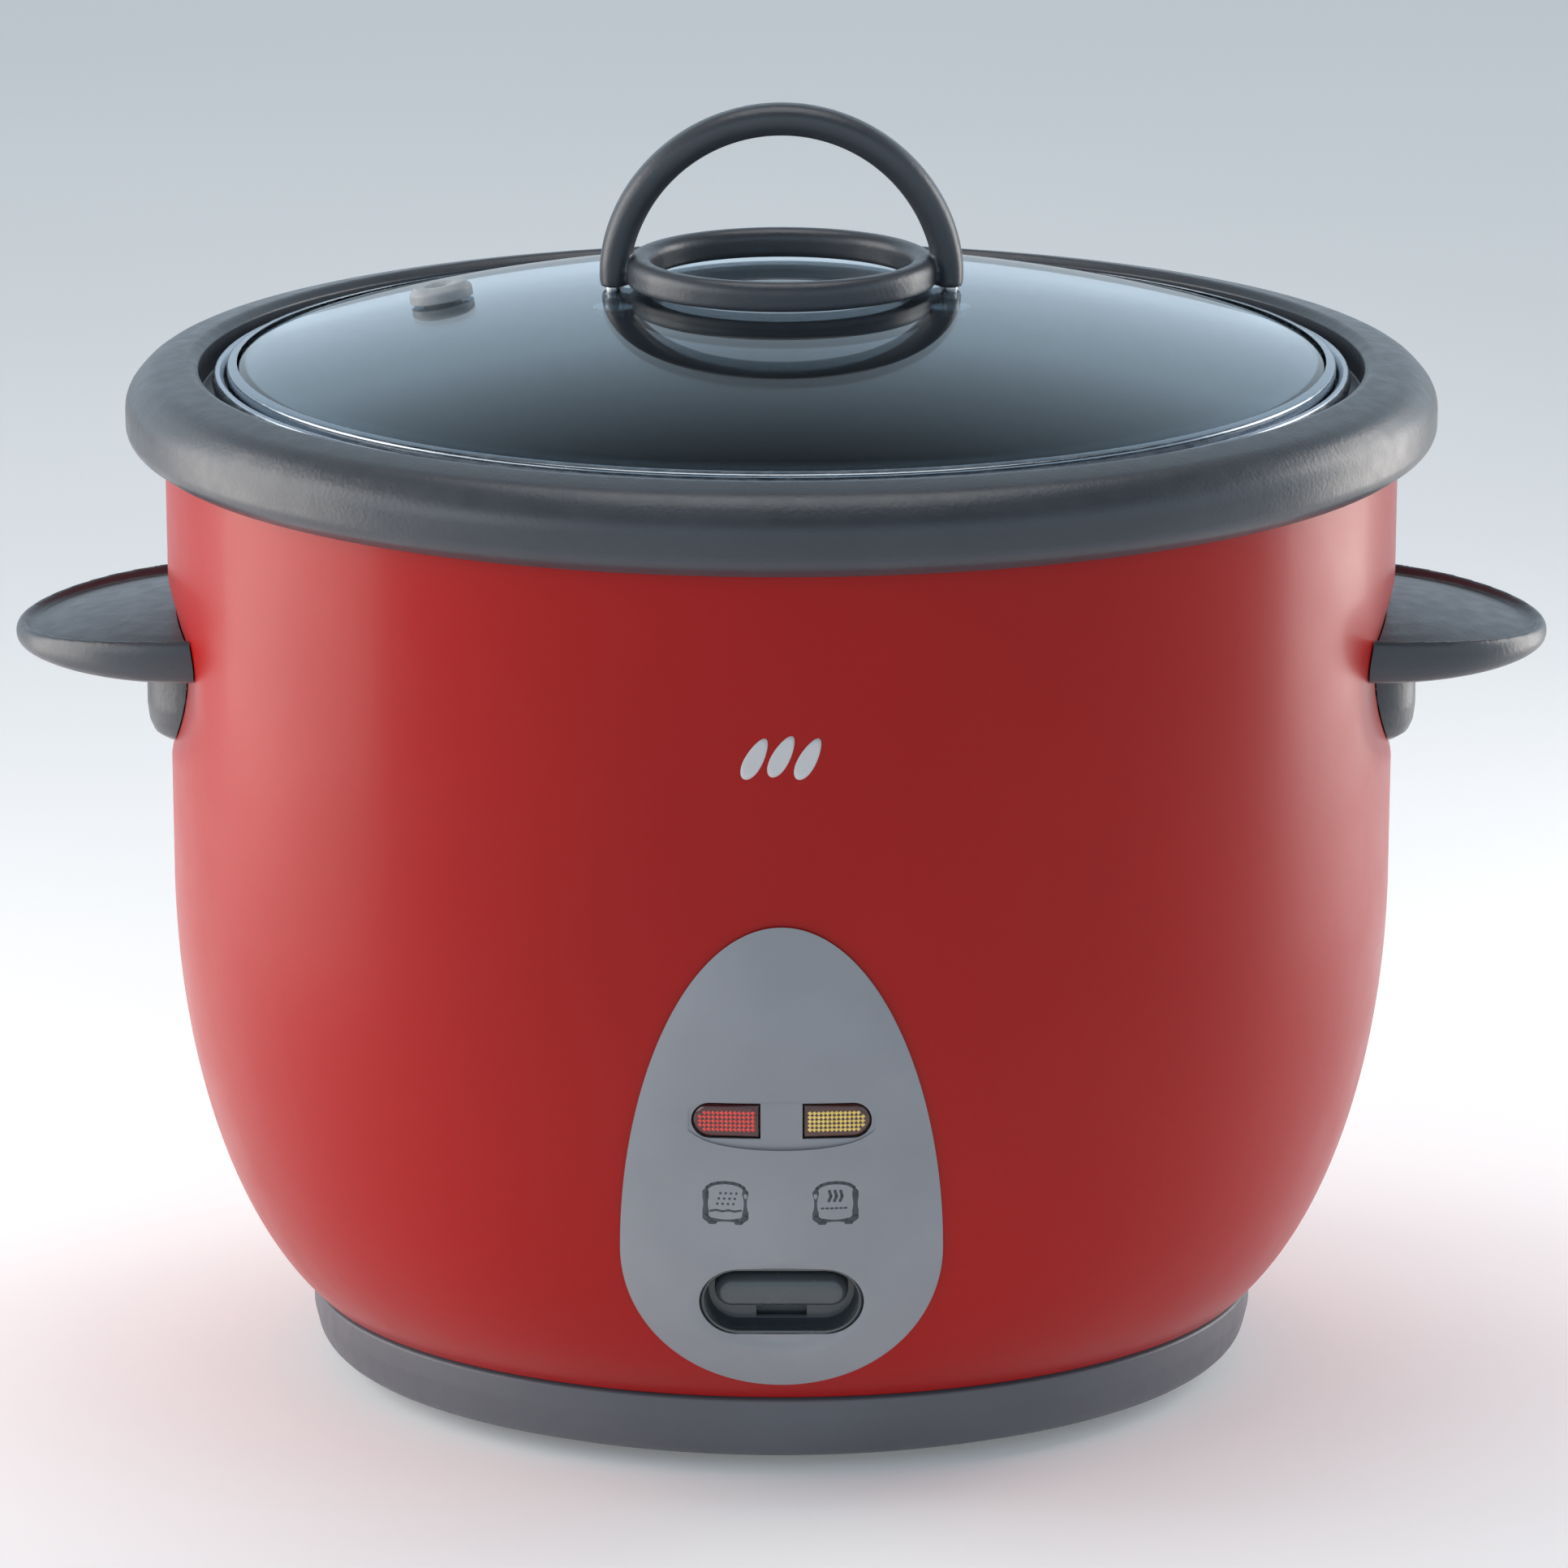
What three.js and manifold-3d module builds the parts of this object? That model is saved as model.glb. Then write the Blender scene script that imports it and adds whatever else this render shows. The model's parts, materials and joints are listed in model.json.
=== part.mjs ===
// Electric rice cooker with a lift-off glass lid, a lift-out aluminium pot, a magnetic cook switch
// and a detachable mains lead. Millimetres, +Z up, the front (control panel) faces -Y.
// The origin is on the table under the middle of the body.
import * as THREE from 'three';
import { mergeVertices } from 'three/addons/utils/BufferGeometryUtils.js';
import Module from 'manifold-3d';

const wasm = await Module();
wasm.setup();

// ---- driving dimensions -------------------------------------------------------------------------
const GAP = 0.3; // clearance between touching pieces
const ROUND = 40; // facets round the large turned pieces
const FRONT = [-140, -60]; // the reach in Y of what cuts through the front of the body

// outer body: nearly straight wall above WAIST_Z, an elliptical tuck-in below it
const BODY_TOP_R = 125.2;
const WAIST_R = 124.1;
const WAIST_Z = 105;
const TUCK_IN = 44.2; // horizontal semi-axis of the tuck-in
const TUCK_DOWN = 95; // vertical semi-axis of the tuck-in
const BODY_BOTTOM_Z = 16.8;
const BODY_TOP_Z = 197.5;
const SHEET = 1.0;

// finger scoop pressed into the body behind each side handle
const SCOOP = { z: 146, halfHeight: 19, halfWidth: 46.5, depth: 3.9, power: 1.6 };

// plastic rim on top of the body
const RIM_R = 133.1;
const RIM_LEDGE_Z = 201.0;
const RIM_BORE_R = 110.5;
const RIM_TOP_Z = 208;

// base and feet
const BASE_R = 96.3;
const BASE_FLOOR_R = 84;
const BASE_OPENING_R = 72;
const BASE_Z = 1.2;
const BASE_TOP_Z = 16.5;
const FOOT_PITCH_R = 78;
const PLATE_Z = 4.2; // underside of the steel bottom plate
const PLATE_R = 80;
const PLATE_THICK = 1;
const VENTS = { rows: 5, firstX: 20, pitch: 6, wide: 3, halfLong: 22 };
const FOOT = { r: 5, soleR: 4.4, tall: 1.0 };
const BOTTOM_SCREW = { headR: 4, headTall: 2, shankR: 1.6, tipZ: 14, holeR: 2.1, boreR: 1.9 };

// liner, heating plate and pot
const LINER_R = 114.3;
const LINER_FLOOR_Z = 49;
const LINER_CORNER = 24;
const HEATER_R = 84;
const HEATER_TOP_Z = 62.5;
const HEATER_THICK = 9.5;
const POT_R = 108.5;
const POT_FLOOR_Z = HEATER_TOP_Z + GAP;
const POT_WALL = 1.5;
const POT_CORNER = 24;
const POT_LIP_TOP_Z = 208;

// glass lid: part of a sphere
const LID_APEX_Z = 224;
const LID_SPHERE_R = 381;
const LID_EDGE_R = 111.7;
const LID_THICK = 3.6;
const VENT = { x: -69, y: 11, r: 6.5, neckR: 3.8, boreR: 2.2, tall: 3.6, below: 2 };

// lid handle: a flat ring with an arch standing on it
const GRIP_RING_R = 28.8;
const GRIP_RING_WIDE = 5.2;
const GRIP_RING_BASE_Z = 223.5;
const GRIP_RING_TALL = 5.9;
const ARCH_R = 34; // centre line of the arch
const ARCH_WIDE = 6.6; // across the arch, in its own plane
const ARCH_DEEP = 8.6;
const ARCH_BASE_Z = 223.1;
const ARCH_TOP_Z = 260.5;
const GRIP_BORE_R = 2;
const GRIP_BORE_TOP_Z = 234;
const GRIP_SCREW = { headR: 4.2, headTall: 2.8, underGlass: 1.2, shankR: 1.7, topZ: 233, clearR: 2.4 };

// side handles: elliptical wings with a gusset under each
const WING = { x: 115, z: 153.4, reach: 41, halfWidth: 39, thick: 10.4, droop: 0.045 };
const GUSSET = { x: 120.5, z: 150, reach: 8.2, halfWidth: 18, drop: 20.5 };
const HANDLE_SCREW = {
  y: 7, z: 139, headR: 3.4, shankR: 1.6, boreR: 1.9, clearR: 2.2, headX: 117.4, seatX: 119.7, tipX: 124.6,
};

// control panel: an egg laid over the front of the body
const EGG = { z: 52.3, halfWidth: 31.8, up: 68, down: 31.6, proud: 2.3, edge: 1.1, back: 0.6, middleZ: 66 };
const LENS = { x0: 4.4, x1: 17.4, z: 81, tall: 6.8, sunk: 0.7, deep: 3.5 };
const LAMP_BOARD = { wide: 40, tall: 9.2, frontY: -116.7, backY: -115.1, bulbY: -118.2, bulbR: 1.7 };
const WELL = { z: 41.2, wide: 30.4, tall: 13.6, wall: 0.9, floorY: -103, backY: -101.5 };
const KNOB = { z: 43, wide: 26.4, tall: 7, frontY: -111.6, backY: -105 };
const SHUTTER = { halfWide: 7, lowZ: 31, frontY: -100, thick: 0.8 }; // hides the stem's slot
const KNOB_STEM = { halfWide: 4, tall: 4, z: 42.5, legY: -84, legDeep: 4 };
const PANEL_BOSS = { r: 3.6, z: 104, long: 7 };
const PANEL_WINDOW = { wide: 42, tall: 62, z: 61, corner: 9 };

// rear power inlet
const INLET = { z: 31, wide: 42, tall: 19, faceY: 113.8, backY: 92 };
const SOCKET = { wide: 22, tall: 11.5, deep: 14 };
const PIN_X = 5.5;
const INLET_SCREW = { x: 16.2, headR: 2.8, shankR: 1.4, boreR: 1.7, tipY: 103 };

// switch mechanism under the heating plate
const PIVOT = { y: -45, z: 22.75 };
const LEVER_THICK = 1.5;
const LEVER_WIDE = 12;
const FERRITE_Z = 45;
const MAGNET_LIFT = 3.22; // travel of the magnet from rest to latched
const MAGNET_TALL = 5;
const MAGNET_R = 8;
const FERRITE_R = 9.8;
const FERRITE_TALL = 6;
const ROD_R = 2;
const ROD_TIP_Z = 17;
const COLLAR_Z = 24;
const COLLAR_R = 5.2;
const COLLAR_THICK = 1.3;
const GUIDE_Z = 34;

const COLOURS = {
  red: [0x9b1c1a, 0.25, 0.3],
  rim: [0x36383d, 0.42, 0],
  grey: [0x77797f, 0.45, 0],
  dark: [0x23262a, 0.35, 0],
  steel: [0xb9bcc0, 0.35, 1],
  aluminium: [0xc9ccd0, 0.4, 1],
  glass: [0x9fb6c4, 0.05, 0],
  rubber: [0x18191b, 0.8, 0],
  silicone: [0xc8c4c0, 0.5, 0],
  copper: [0xb87333, 0.4, 1],
  redLens: [0xc03028, 0.2, 0],
  amberLens: [0xd8b040, 0.2, 0],
  ferrite: [0x3a3a3e, 0.6, 0.2],
  insulation: [0xe0ddd2, 0.7, 0],
};

// ---- helpers ------------------------------------------------------------------------------------
const model = new THREE.Group();

/** Adds one named mesh to the model. */
function add(name, colour, geometry) {
  const [color, roughness, metalness] = COLOURS[colour];
  const mesh = new THREE.Mesh(geometry, new THREE.MeshStandardMaterial({ color, roughness, metalness }));
  mesh.name = name;
  model.add(mesh);
  return mesh;
}

/** Turns a geometry into a manifold solid. */
function solid(geometry) {
  const plain = new THREE.BufferGeometry();
  const flat = geometry.index ? geometry.toNonIndexed() : geometry;
  plain.setAttribute('position', flat.getAttribute('position').clone());
  const merged = mergeVertices(plain, 1e-4);
  return new wasm.Manifold(new wasm.Mesh({
    numProp: 3,
    vertProperties: merged.attributes.position.array,
    triVerts: new Uint32Array(merged.index.array),
  }));
}

/** Turns a manifold solid back into a geometry. */
function geometryOf(made) {
  const mesh = made.getMesh();
  const geometry = new THREE.BufferGeometry();
  geometry.setAttribute('position', new THREE.BufferAttribute(mesh.vertProperties, 3));
  geometry.setIndex(new THREE.BufferAttribute(mesh.triVerts, 1));
  geometry.computeVertexNormals();
  return geometry;
}

/** Joins and cuts: every piece in the first list, less every piece in the second. */
function carve(joined, cut = []) {
  let made = solid(joined[0]);
  for (const piece of joined.slice(1)) made = made.add(solid(piece));
  for (const piece of cut) made = made.subtract(solid(piece));
  return geometryOf(made);
}

/** Turns a closed outline of [radius, height] points about Z. */
function turned(outline, facets = ROUND) {
  let twiceArea = 0;
  outline.forEach(([r, z], i) => {
    const [nextR, nextZ] = outline[(i + 1) % outline.length];
    twiceArea += r * nextZ - nextR * z;
  });
  const ordered = twiceArea > 0 ? outline : [...outline].reverse();
  const points = ordered.map(([r, z]) => new THREE.Vector2(r, z));
  const startsOnAxis = points.findIndex((p, i) => p.x === 0 && points.at(i - 1).x === 0);
  if (startsOnAxis >= 0) points.unshift(...points.splice(startsOnAxis));
  else points.push(points[0].clone());
  return new THREE.LatheGeometry(points, facets).rotateX(Math.PI / 2);
}

/** Points of an elliptical arc about (r, z), angles in degrees from +r towards +z. */
function arc(r, z, wide, tall, from, to, steps) {
  return Array.from({ length: steps + 1 }, (_, i) => {
    const angle = THREE.MathUtils.degToRad(from + ((to - from) * i) / steps);
    return [r + wide * Math.cos(angle), z + tall * Math.sin(angle)];
  });
}

/** A box between two corners. */
function box(x0, x1, y0, y1, z0, z1) {
  return new THREE.BoxGeometry(x1 - x0, y1 - y0, z1 - z0)
    .translate((x0 + x1) / 2, (y0 + y1) / 2, (z0 + z1) / 2);
}

/** A cylinder standing on (x, y, z0). */
function post(r, x, y, z0, z1, facets = 16) {
  return new THREE.CylinderGeometry(r, r, z1 - z0, facets)
    .rotateX(Math.PI / 2)
    .translate(x, y, (z0 + z1) / 2);
}

/** A cylinder lying along X. */
function rodX(r, x0, x1, y, z, facets = 16) {
  return new THREE.CylinderGeometry(r, r, x1 - x0, facets)
    .rotateZ(Math.PI / 2)
    .translate((x0 + x1) / 2, y, z);
}

/** A cylinder lying along Y. */
function rodY(r, y0, y1, x, z, facets = 16) {
  return new THREE.CylinderGeometry(r, r, y1 - y0, facets).translate(x, (y0 + y1) / 2, z);
}

/** A flat outline in X and Z, pushed from y0 to y1. */
function prismY(shape, y0, y1, curveSegments = 8) {
  return new THREE.ExtrudeGeometry(shape, { depth: y1 - y0, bevelEnabled: false, curveSegments })
    .rotateX(Math.PI / 2)
    .translate(0, y1, 0);
}

/** A slot outline with round ends, centred on x = 0. */
function stadium(wide, tall, z) {
  const half = wide / 2 - tall / 2;
  const shape = new THREE.Shape();
  shape.moveTo(-half, z - tall / 2);
  shape.lineTo(half, z - tall / 2);
  shape.absarc(half, z, tall / 2, -Math.PI / 2, Math.PI / 2, false);
  shape.lineTo(-half, z + tall / 2);
  shape.absarc(-half, z, tall / 2, Math.PI / 2, (3 * Math.PI) / 2, false);
  return shape;
}

/** An upright rounded rectangle outline centred on x = 0. */
function roundedBox(wide, tall, z, r) {
  const [x, low, high] = [wide / 2, z - tall / 2, z + tall / 2];
  const shape = new THREE.Shape();
  shape.absarc(x - r, low + r, r, -Math.PI / 2, 0, false);
  shape.absarc(x - r, high - r, r, 0, Math.PI / 2, false);
  shape.absarc(r - x, high - r, r, Math.PI / 2, Math.PI, false);
  shape.absarc(r - x, low + r, r, Math.PI, (3 * Math.PI) / 2, false);
  return shape;
}

/** A round tube along a smooth curve through the points. */
function tube(points, r, steps, sides = 6) {
  const path = new THREE.CatmullRomCurve3(points.map((p) => new THREE.Vector3(...p)), false, 'centripetal');
  const section = new THREE.Shape();
  section.absarc(0, 0, r, 0, Math.PI * 2);
  return new THREE.ExtrudeGeometry(section, { steps, curveSegments: sides / 2, extrudePath: path });
}

/** A compression spring about Z. */
function coilSpring(r, wire, z0, z1, turns) {
  const stepsPerTurn = 8;
  const count = turns * stepsPerTurn;
  const points = Array.from({ length: count + 1 }, (_, i) => {
    const angle = (2 * Math.PI * i) / stepsPerTurn;
    const z = z0 + wire + ((z1 - z0 - 2 * wire) * i) / count;
    return [r * Math.cos(angle), r * Math.sin(angle), z];
  });
  return tube(points, wire, count, 4);
}

// ---- the shape of the body ----------------------------------------------------------------------
/** Outer radius of the body at a height, before the scoops are pressed in. */
function bodyRadius(z) {
  if (z >= WAIST_Z) return WAIST_R + ((BODY_TOP_R - WAIST_R) * (z - WAIST_Z)) / (BODY_TOP_Z - WAIST_Z);
  const down = (WAIST_Z - z) / TUCK_DOWN;
  return WAIST_R - TUCK_IN * (1 - Math.sqrt(1 - down * down));
}

/** How far a scoop presses the wall in at a point of the body. */
function scoopDepth(y, z) {
  const share = 1 - (y / SCOOP.halfWidth) ** 2 - ((z - SCOOP.z) / SCOOP.halfHeight) ** 2;
  return share > 0 ? SCOOP.depth * share ** SCOOP.power : 0;
}

/** Presses the two scoops into a turned geometry. */
function pressScoops(geometry) {
  const position = geometry.getAttribute('position');
  for (let i = 0; i < position.count; i++) {
    const [x, y, z] = [position.getX(i), position.getY(i), position.getZ(i)];
    const r = Math.hypot(x, y);
    if (r < 1) continue;
    const pressed = (r - scoopDepth(y, z)) / r;
    position.setXY(i, x * pressed, y * pressed);
  }
  return geometry;
}

/** The body's wall line, moved in by an inset, from the bottom up. */
function wallLine(inset) {
  const tuckSteps = 6;
  const lowest = Math.asin((WAIST_Z - BODY_BOTTOM_Z) / TUCK_DOWN);
  const tuck = Array.from({ length: tuckSteps }, (_, i) => {
    const angle = lowest * (1 - i / tuckSteps);
    const r = WAIST_R - TUCK_IN * (1 - Math.cos(angle));
    const z = WAIST_Z - TUCK_DOWN * Math.sin(angle);
    const lean = Math.atan2(TUCK_IN * Math.sin(angle), TUCK_DOWN * Math.cos(angle));
    return [r - inset * Math.cos(lean), i === 0 ? z : z + inset * Math.sin(lean)];
  });
  const scoopRows = [-19, -10, 0, 10, 19].map((dz) => SCOOP.z + dz);
  const wall = [WAIST_Z, ...scoopRows, BODY_TOP_Z].map((z) => [bodyRadius(z) - inset, z]);
  return [...tuck, ...wall];
}

/** A solid plug of the body's outer shape, a clearance larger, for trimming what hugs it. */
function bodyPlug(clearance) {
  const line = wallLine(-clearance);
  return pressScoops(turned([[0, BODY_BOTTOM_Z], ...line, [0, BODY_TOP_Z]]));
}

// ---- housing ------------------------------------------------------------------------------------
function outerBody() {
  const shell = pressScoops(turned([...wallLine(0), ...wallLine(SHEET).reverse()]));
  const { wide, tall, z, corner } = PANEL_WINDOW;
  const inletHalf = INLET.wide / 2 + GAP;
  const screwHoles = [-1, 1].flatMap((side) => [-1, 1].map((end) =>
    rodX(HANDLE_SCREW.clearR, side * 122 - 6, side * 122 + 6, end * HANDLE_SCREW.y, HANDLE_SCREW.z, 8)));
  add('outer_body', 'red', carve([shell], [
    prismY(roundedBox(wide, tall, z, corner), ...FRONT, 4),
    box(-inletHalf, inletHalf, 60, 140, INLET.z - INLET.tall / 2 - GAP, INLET.z + INLET.tall / 2 + GAP),
    rodY(PANEL_BOSS.r + 0.4, ...FRONT, 0, PANEL_BOSS.z, 12),
    ...screwHoles,
  ]));
}

function rimRing() {
  const crown = [
    [BODY_TOP_R + 0.6, 190.9], [128.6, 191.2], [131.7, 193.4], [RIM_R, 196.8], [132.2, 201.2],
    [129, 204.9], [124, 207.2], [119.4, RIM_TOP_Z], [118.2, 207.2],
  ];
  const seat = [[118.2, RIM_LEDGE_Z], [RIM_BORE_R, RIM_LEDGE_Z], [RIM_BORE_R, 186], [112.4, 186]];
  const slot = [[112.4, 198.4], [BODY_TOP_R + 0.6, 198.4]];
  add('rim_ring', 'rim', turned([...crown, ...seat, ...slot]));
}

function baseRing() {
  const outside = arc(BASE_FLOOR_R, 10.5, BASE_R - BASE_FLOOR_R, 10.5 - BASE_Z, -90, 0, 4);
  add('base_ring', 'rim', turned([
    [BASE_OPENING_R, BASE_Z], ...outside, [BASE_R, 15.8], [95.6, BASE_TOP_Z], [89, BASE_TOP_Z],
    [89, 14], [93.2, 14], [93.2, 10.5], [88.5, 5.4], [83, 3.9], [BASE_OPENING_R, 3.9],
  ]));
}

/** Calls a maker with the place of each of count pieces set evenly on a circle. */
function aroundCircle(count, r, startDegrees, make) {
  for (let i = 0; i < count; i++) {
    const angle = THREE.MathUtils.degToRad(startDegrees + (360 * i) / count);
    make(i + 1, r * Math.cos(angle), r * Math.sin(angle));
  }
}

function bottomPlate() {
  const cuts = [];
  for (const side of [-1, 1]) {
    for (let i = 0; i < VENTS.rows; i++) {
      const x = side * (VENTS.firstX + i * VENTS.pitch);
      const half = VENTS.wide / 2;
      cuts.push(box(x - half, x + half, -VENTS.halfLong, VENTS.halfLong, PLATE_Z - 1, PLATE_Z + 3));
    }
  }
  const { headR, headTall, shankR, tipZ, holeR } = BOTTOM_SCREW;
  aroundHeaterPosts((_, x, y) => cuts.push(post(holeR, x, y, 0, 10, 10)));
  add('bottom_plate', 'steel', carve([post(PLATE_R, 0, 0, PLATE_Z, PLATE_Z + PLATE_THICK, 36)], cuts));
  const seatZ = PLATE_Z - GAP;
  aroundHeaterPosts((n, x, y) => {
    add(`bottom_screw_${n}`, 'steel', carve([
      post(headR, x, y, seatZ - headTall, seatZ, 12), post(shankR, x, y, seatZ - 0.7, tipZ, 10),
    ]));
  });
}

function feet() {
  aroundCircle(4, FOOT_PITCH_R, 45, (n, x, y) => {
    add(`foot_${n}`, 'rubber', new THREE.CylinderGeometry(FOOT.r, FOOT.soleR, FOOT.tall, 16)
      .rotateX(Math.PI / 2)
      .translate(x, y, FOOT.tall / 2));
  });
}

/** One side handle: +1 on the right, -1 on the left. */
function sideHandle(side, name) {
  const half = WING.thick / 2;
  const edge = arc(0.86, 0, 0.14, half, -90, 90, 6);
  const disc = turned([[0, -half], ...edge, [0, half]], 28).scale(WING.reach, WING.halfWidth, 1);
  const droop = new THREE.Matrix4().makeRotationY(WING.droop);
  disc.applyMatrix4(droop).translate(WING.x, 0, WING.z);
  const gusset = new THREE.SphereGeometry(1, 14, 10).rotateX(Math.PI / 2)
    .scale(GUSSET.reach, GUSSET.halfWidth, GUSSET.drop)
    .translate(GUSSET.x, 0, GUSSET.z);
  const above = box(0, 200, -60, 60, WING.z, 200);
  const gussetOnly = carve([gusset], [above]);
  const mirror = (geometry) => (side < 0 ? geometry.rotateZ(Math.PI) : geometry);
  const bores = [-1, 1].map((end) =>
    rodX(HANDLE_SCREW.boreR, 110, 125, end * HANDLE_SCREW.y, HANDLE_SCREW.z, 8));
  const joined = carve([disc, gussetOnly], [box(-50, 100, -80, 80, 100, 200), ...bores]);
  add(name, 'rim', carve([mirror(joined)], [bodyPlug(GAP)]));
  [-1, 1].forEach((end, i) => {
    const y = end * HANDLE_SCREW.y;
    const { z, headR, shankR, headX, seatX, tipX } = HANDLE_SCREW;
    const screw = carve([rodX(headR, headX, seatX, y, z, 12), rodX(shankR, seatX - 1, tipX, y, z, 8)]);
    add(`${name}_screw_${i + 1}`, 'steel', mirror(screw));
  });
}

// ---- control panel ------------------------------------------------------------------------------
/** The panel's curved slab: rings of points from its middle to its rim, front and back. */
function panelSlab(frontProud, backProud) {
  const spokes = 28;
  const rings = 4;
  const { middleZ } = EGG;
  const points = [];
  const place = (x, z, proud) => {
    const r = bodyRadius(z) + proud;
    return [x, -Math.sqrt(r * r - x * x), z];
  };
  const rimPoint = (angle) => {
    const reach = Math.sin(angle) > 0 ? EGG.up : EGG.down;
    return [EGG.halfWidth * Math.cos(angle), EGG.z + reach * Math.sin(angle)];
  };
  for (const proud of [frontProud, backProud]) {
    points.push(place(0, middleZ, proud(0)));
    for (let ring = 1; ring <= rings; ring++) {
      const share = ring / rings;
      for (let spoke = 0; spoke < spokes; spoke++) {
        const [rimX, rimZ] = rimPoint((2 * Math.PI * spoke) / spokes);
        points.push(place(rimX * share, middleZ + (rimZ - middleZ) * share, proud(share)));
      }
    }
  }
  const perSide = 1 + rings * spokes;
  const at = (side, ring, spoke) => side * perSide + 1 + (ring - 1) * spokes + (spoke % spokes);
  const faces = [];
  for (let spoke = 0; spoke < spokes; spoke++) {
    faces.push([0, at(0, 1, spoke), at(0, 1, spoke + 1)]);
    faces.push([perSide, at(1, 1, spoke + 1), at(1, 1, spoke)]);
    for (let ring = 1; ring < rings; ring++) {
      for (const side of [0, 1]) {
        const quad = [at(side, ring, spoke), at(side, ring + 1, spoke),
          at(side, ring + 1, spoke + 1), at(side, ring, spoke + 1)];
        if (side) quad.reverse();
        faces.push([quad[0], quad[1], quad[2]], [quad[0], quad[2], quad[3]]);
      }
    }
    const [a, b] = [at(0, rings, spoke), at(0, rings, spoke + 1)];
    const [c, d] = [at(1, rings, spoke + 1), at(1, rings, spoke)];
    faces.push([a, d, c], [a, c, b]);
  }
  const geometry = new THREE.BufferGeometry();
  geometry.setAttribute('position', new THREE.Float32BufferAttribute(points.flat(), 3));
  geometry.setIndex(faces.flat());
  return geometry;
}

const panelFront = (share) => EGG.proud - (EGG.proud - EGG.edge) * share ** 4;

/** Outline of a lamp lens: square towards the middle, round at its outer end. */
function lensShape(side, grow) {
  const half = LENS.tall / 2 + grow;
  const inner = side * (LENS.x0 - grow);
  const centre = side * (LENS.x1 - LENS.tall / 2);
  const shape = new THREE.Shape();
  shape.moveTo(inner, LENS.z - half);
  shape.lineTo(centre, LENS.z - half);
  shape.absarc(centre, LENS.z, half, -Math.PI / 2, Math.PI / 2, side < 0);
  shape.lineTo(inner, LENS.z + half);
  return shape;
}

function controlPanel() {
  const well = stadium(WELL.wide + 2 * (WELL.wall + GAP), WELL.tall + 2 * (WELL.wall + GAP), WELL.z);
  const bossY = -bodyRadius(PANEL_BOSS.z) - 1;
  const boss = rodY(PANEL_BOSS.r, bossY, bossY + PANEL_BOSS.long, 0, PANEL_BOSS.z, 12);
  const slab = panelSlab(panelFront, () => EGG.back);
  add('control_panel', 'grey', carve([slab, boss], [
    prismY(well, ...FRONT), prismY(lensShape(1, GAP), ...FRONT), prismY(lensShape(-1, GAP), ...FRONT),
  ]));
}

function lampsAndWell() {
  const under = panelSlab((share) => panelFront(share) - LENS.sunk, () => -LENS.deep);
  const lamps = [[-1, 'cook_lamp_lens', 'redLens'], [1, 'warm_lamp_lens', 'amberLens']];
  for (const [side, name, colour] of lamps) {
    const lens = solid(prismY(lensShape(side, 0), ...FRONT)).intersect(solid(under));
    add(name, colour, geometryOf(lens));
  }
  const { wide, tall, frontY, backY, bulbY, bulbR } = LAMP_BOARD;
  const board = box(-wide / 2, wide / 2, frontY, backY, LENS.z - tall / 2, LENS.z + tall / 2);
  const lampX = (LENS.x0 + LENS.x1) / 2;
  const bulbs = [-1, 1].map((side) => rodY(bulbR, bulbY, frontY + 1, side * lampX, LENS.z, 10));
  add('lamp_holder', 'insulation', carve([board, ...bulbs]));

  const rimOutline = stadium(WELL.wide + 2 * WELL.wall, WELL.tall + 2 * WELL.wall, WELL.z);
  const outside = solid(prismY(rimOutline, -140, WELL.backY));
  const trimmed = outside.intersect(solid(panelSlab((share) => panelFront(share) - 0.2, () => -25)));
  const cavity = prismY(stadium(WELL.wide, WELL.tall, WELL.z), -140, WELL.floorY);
  const slot = box(-5, 5, -110, -90, KNOB_STEM.z - 7.1, KNOB_STEM.z + 2.8);
  add('switch_well', 'dark', geometryOf(trimmed.subtract(solid(cavity)).subtract(solid(slot))));
}

// ---- power inlet --------------------------------------------------------------------------------
function powerInlet() {
  const halfTall = INLET.tall / 2;
  const halfWide = INLET.wide / 2;
  const shellBox = box(-halfWide, halfWide, INLET.backY, INLET.faceY, INLET.z - halfTall, INLET.z + halfTall);
  const socket = box(-SOCKET.wide / 2, SOCKET.wide / 2, INLET.faceY - SOCKET.deep, INLET.faceY + 5,
    INLET.z - SOCKET.tall / 2, INLET.z + SOCKET.tall / 2);
  const pins = [['inlet_pin_live', -PIN_X], ['inlet_pin_neutral', PIN_X]];
  const pinHoles = pins.map(([, x]) => box(x - 1.3, x + 1.3, 90, 102, INLET.z - 2.3, INLET.z + 2.3));
  const screwHoles = [-1, 1].map((side) =>
    rodY(INLET_SCREW.boreR, 100, 130, side * INLET_SCREW.x, INLET.z, 8));
  add('power_inlet', 'dark', carve([shellBox], [socket, ...pinHoles, ...screwHoles]));
  for (const [name, x] of pins) {
    add(name, 'steel', box(x - 1, x + 1, INLET.backY - 3, INLET.faceY - 4, INLET.z - 2, INLET.z + 2));
  }
  [-1, 1].forEach((side, i) => {
    add(`inlet_screw_${i + 1}`, 'steel', carve([
      rodY(INLET_SCREW.headR, INLET.faceY + GAP, INLET.faceY + 1.9, side * INLET_SCREW.x, INLET.z, 12),
      rodY(INLET_SCREW.shankR, INLET_SCREW.tipY, INLET.faceY + 1, side * INLET_SCREW.x, INLET.z, 8),
    ]));
  });
}

// ---- liner, heating plate, sensor ---------------------------------------------------------------
const SENSOR_R = 18;
const SENSOR_TUBE_R = 11.5;
const ELEMENT_R = 62;
const TERMINAL_X = 24;
const TERMINALS = [[-TERMINAL_X, 'element_terminal_left'], [TERMINAL_X, 'element_terminal_right']];
const TERMINAL_Y = Math.sqrt(ELEMENT_R ** 2 - TERMINAL_X ** 2);
const POST_SHOULDER_R = 5.6;
const POST_SHANK_R = 3.8;

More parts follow.
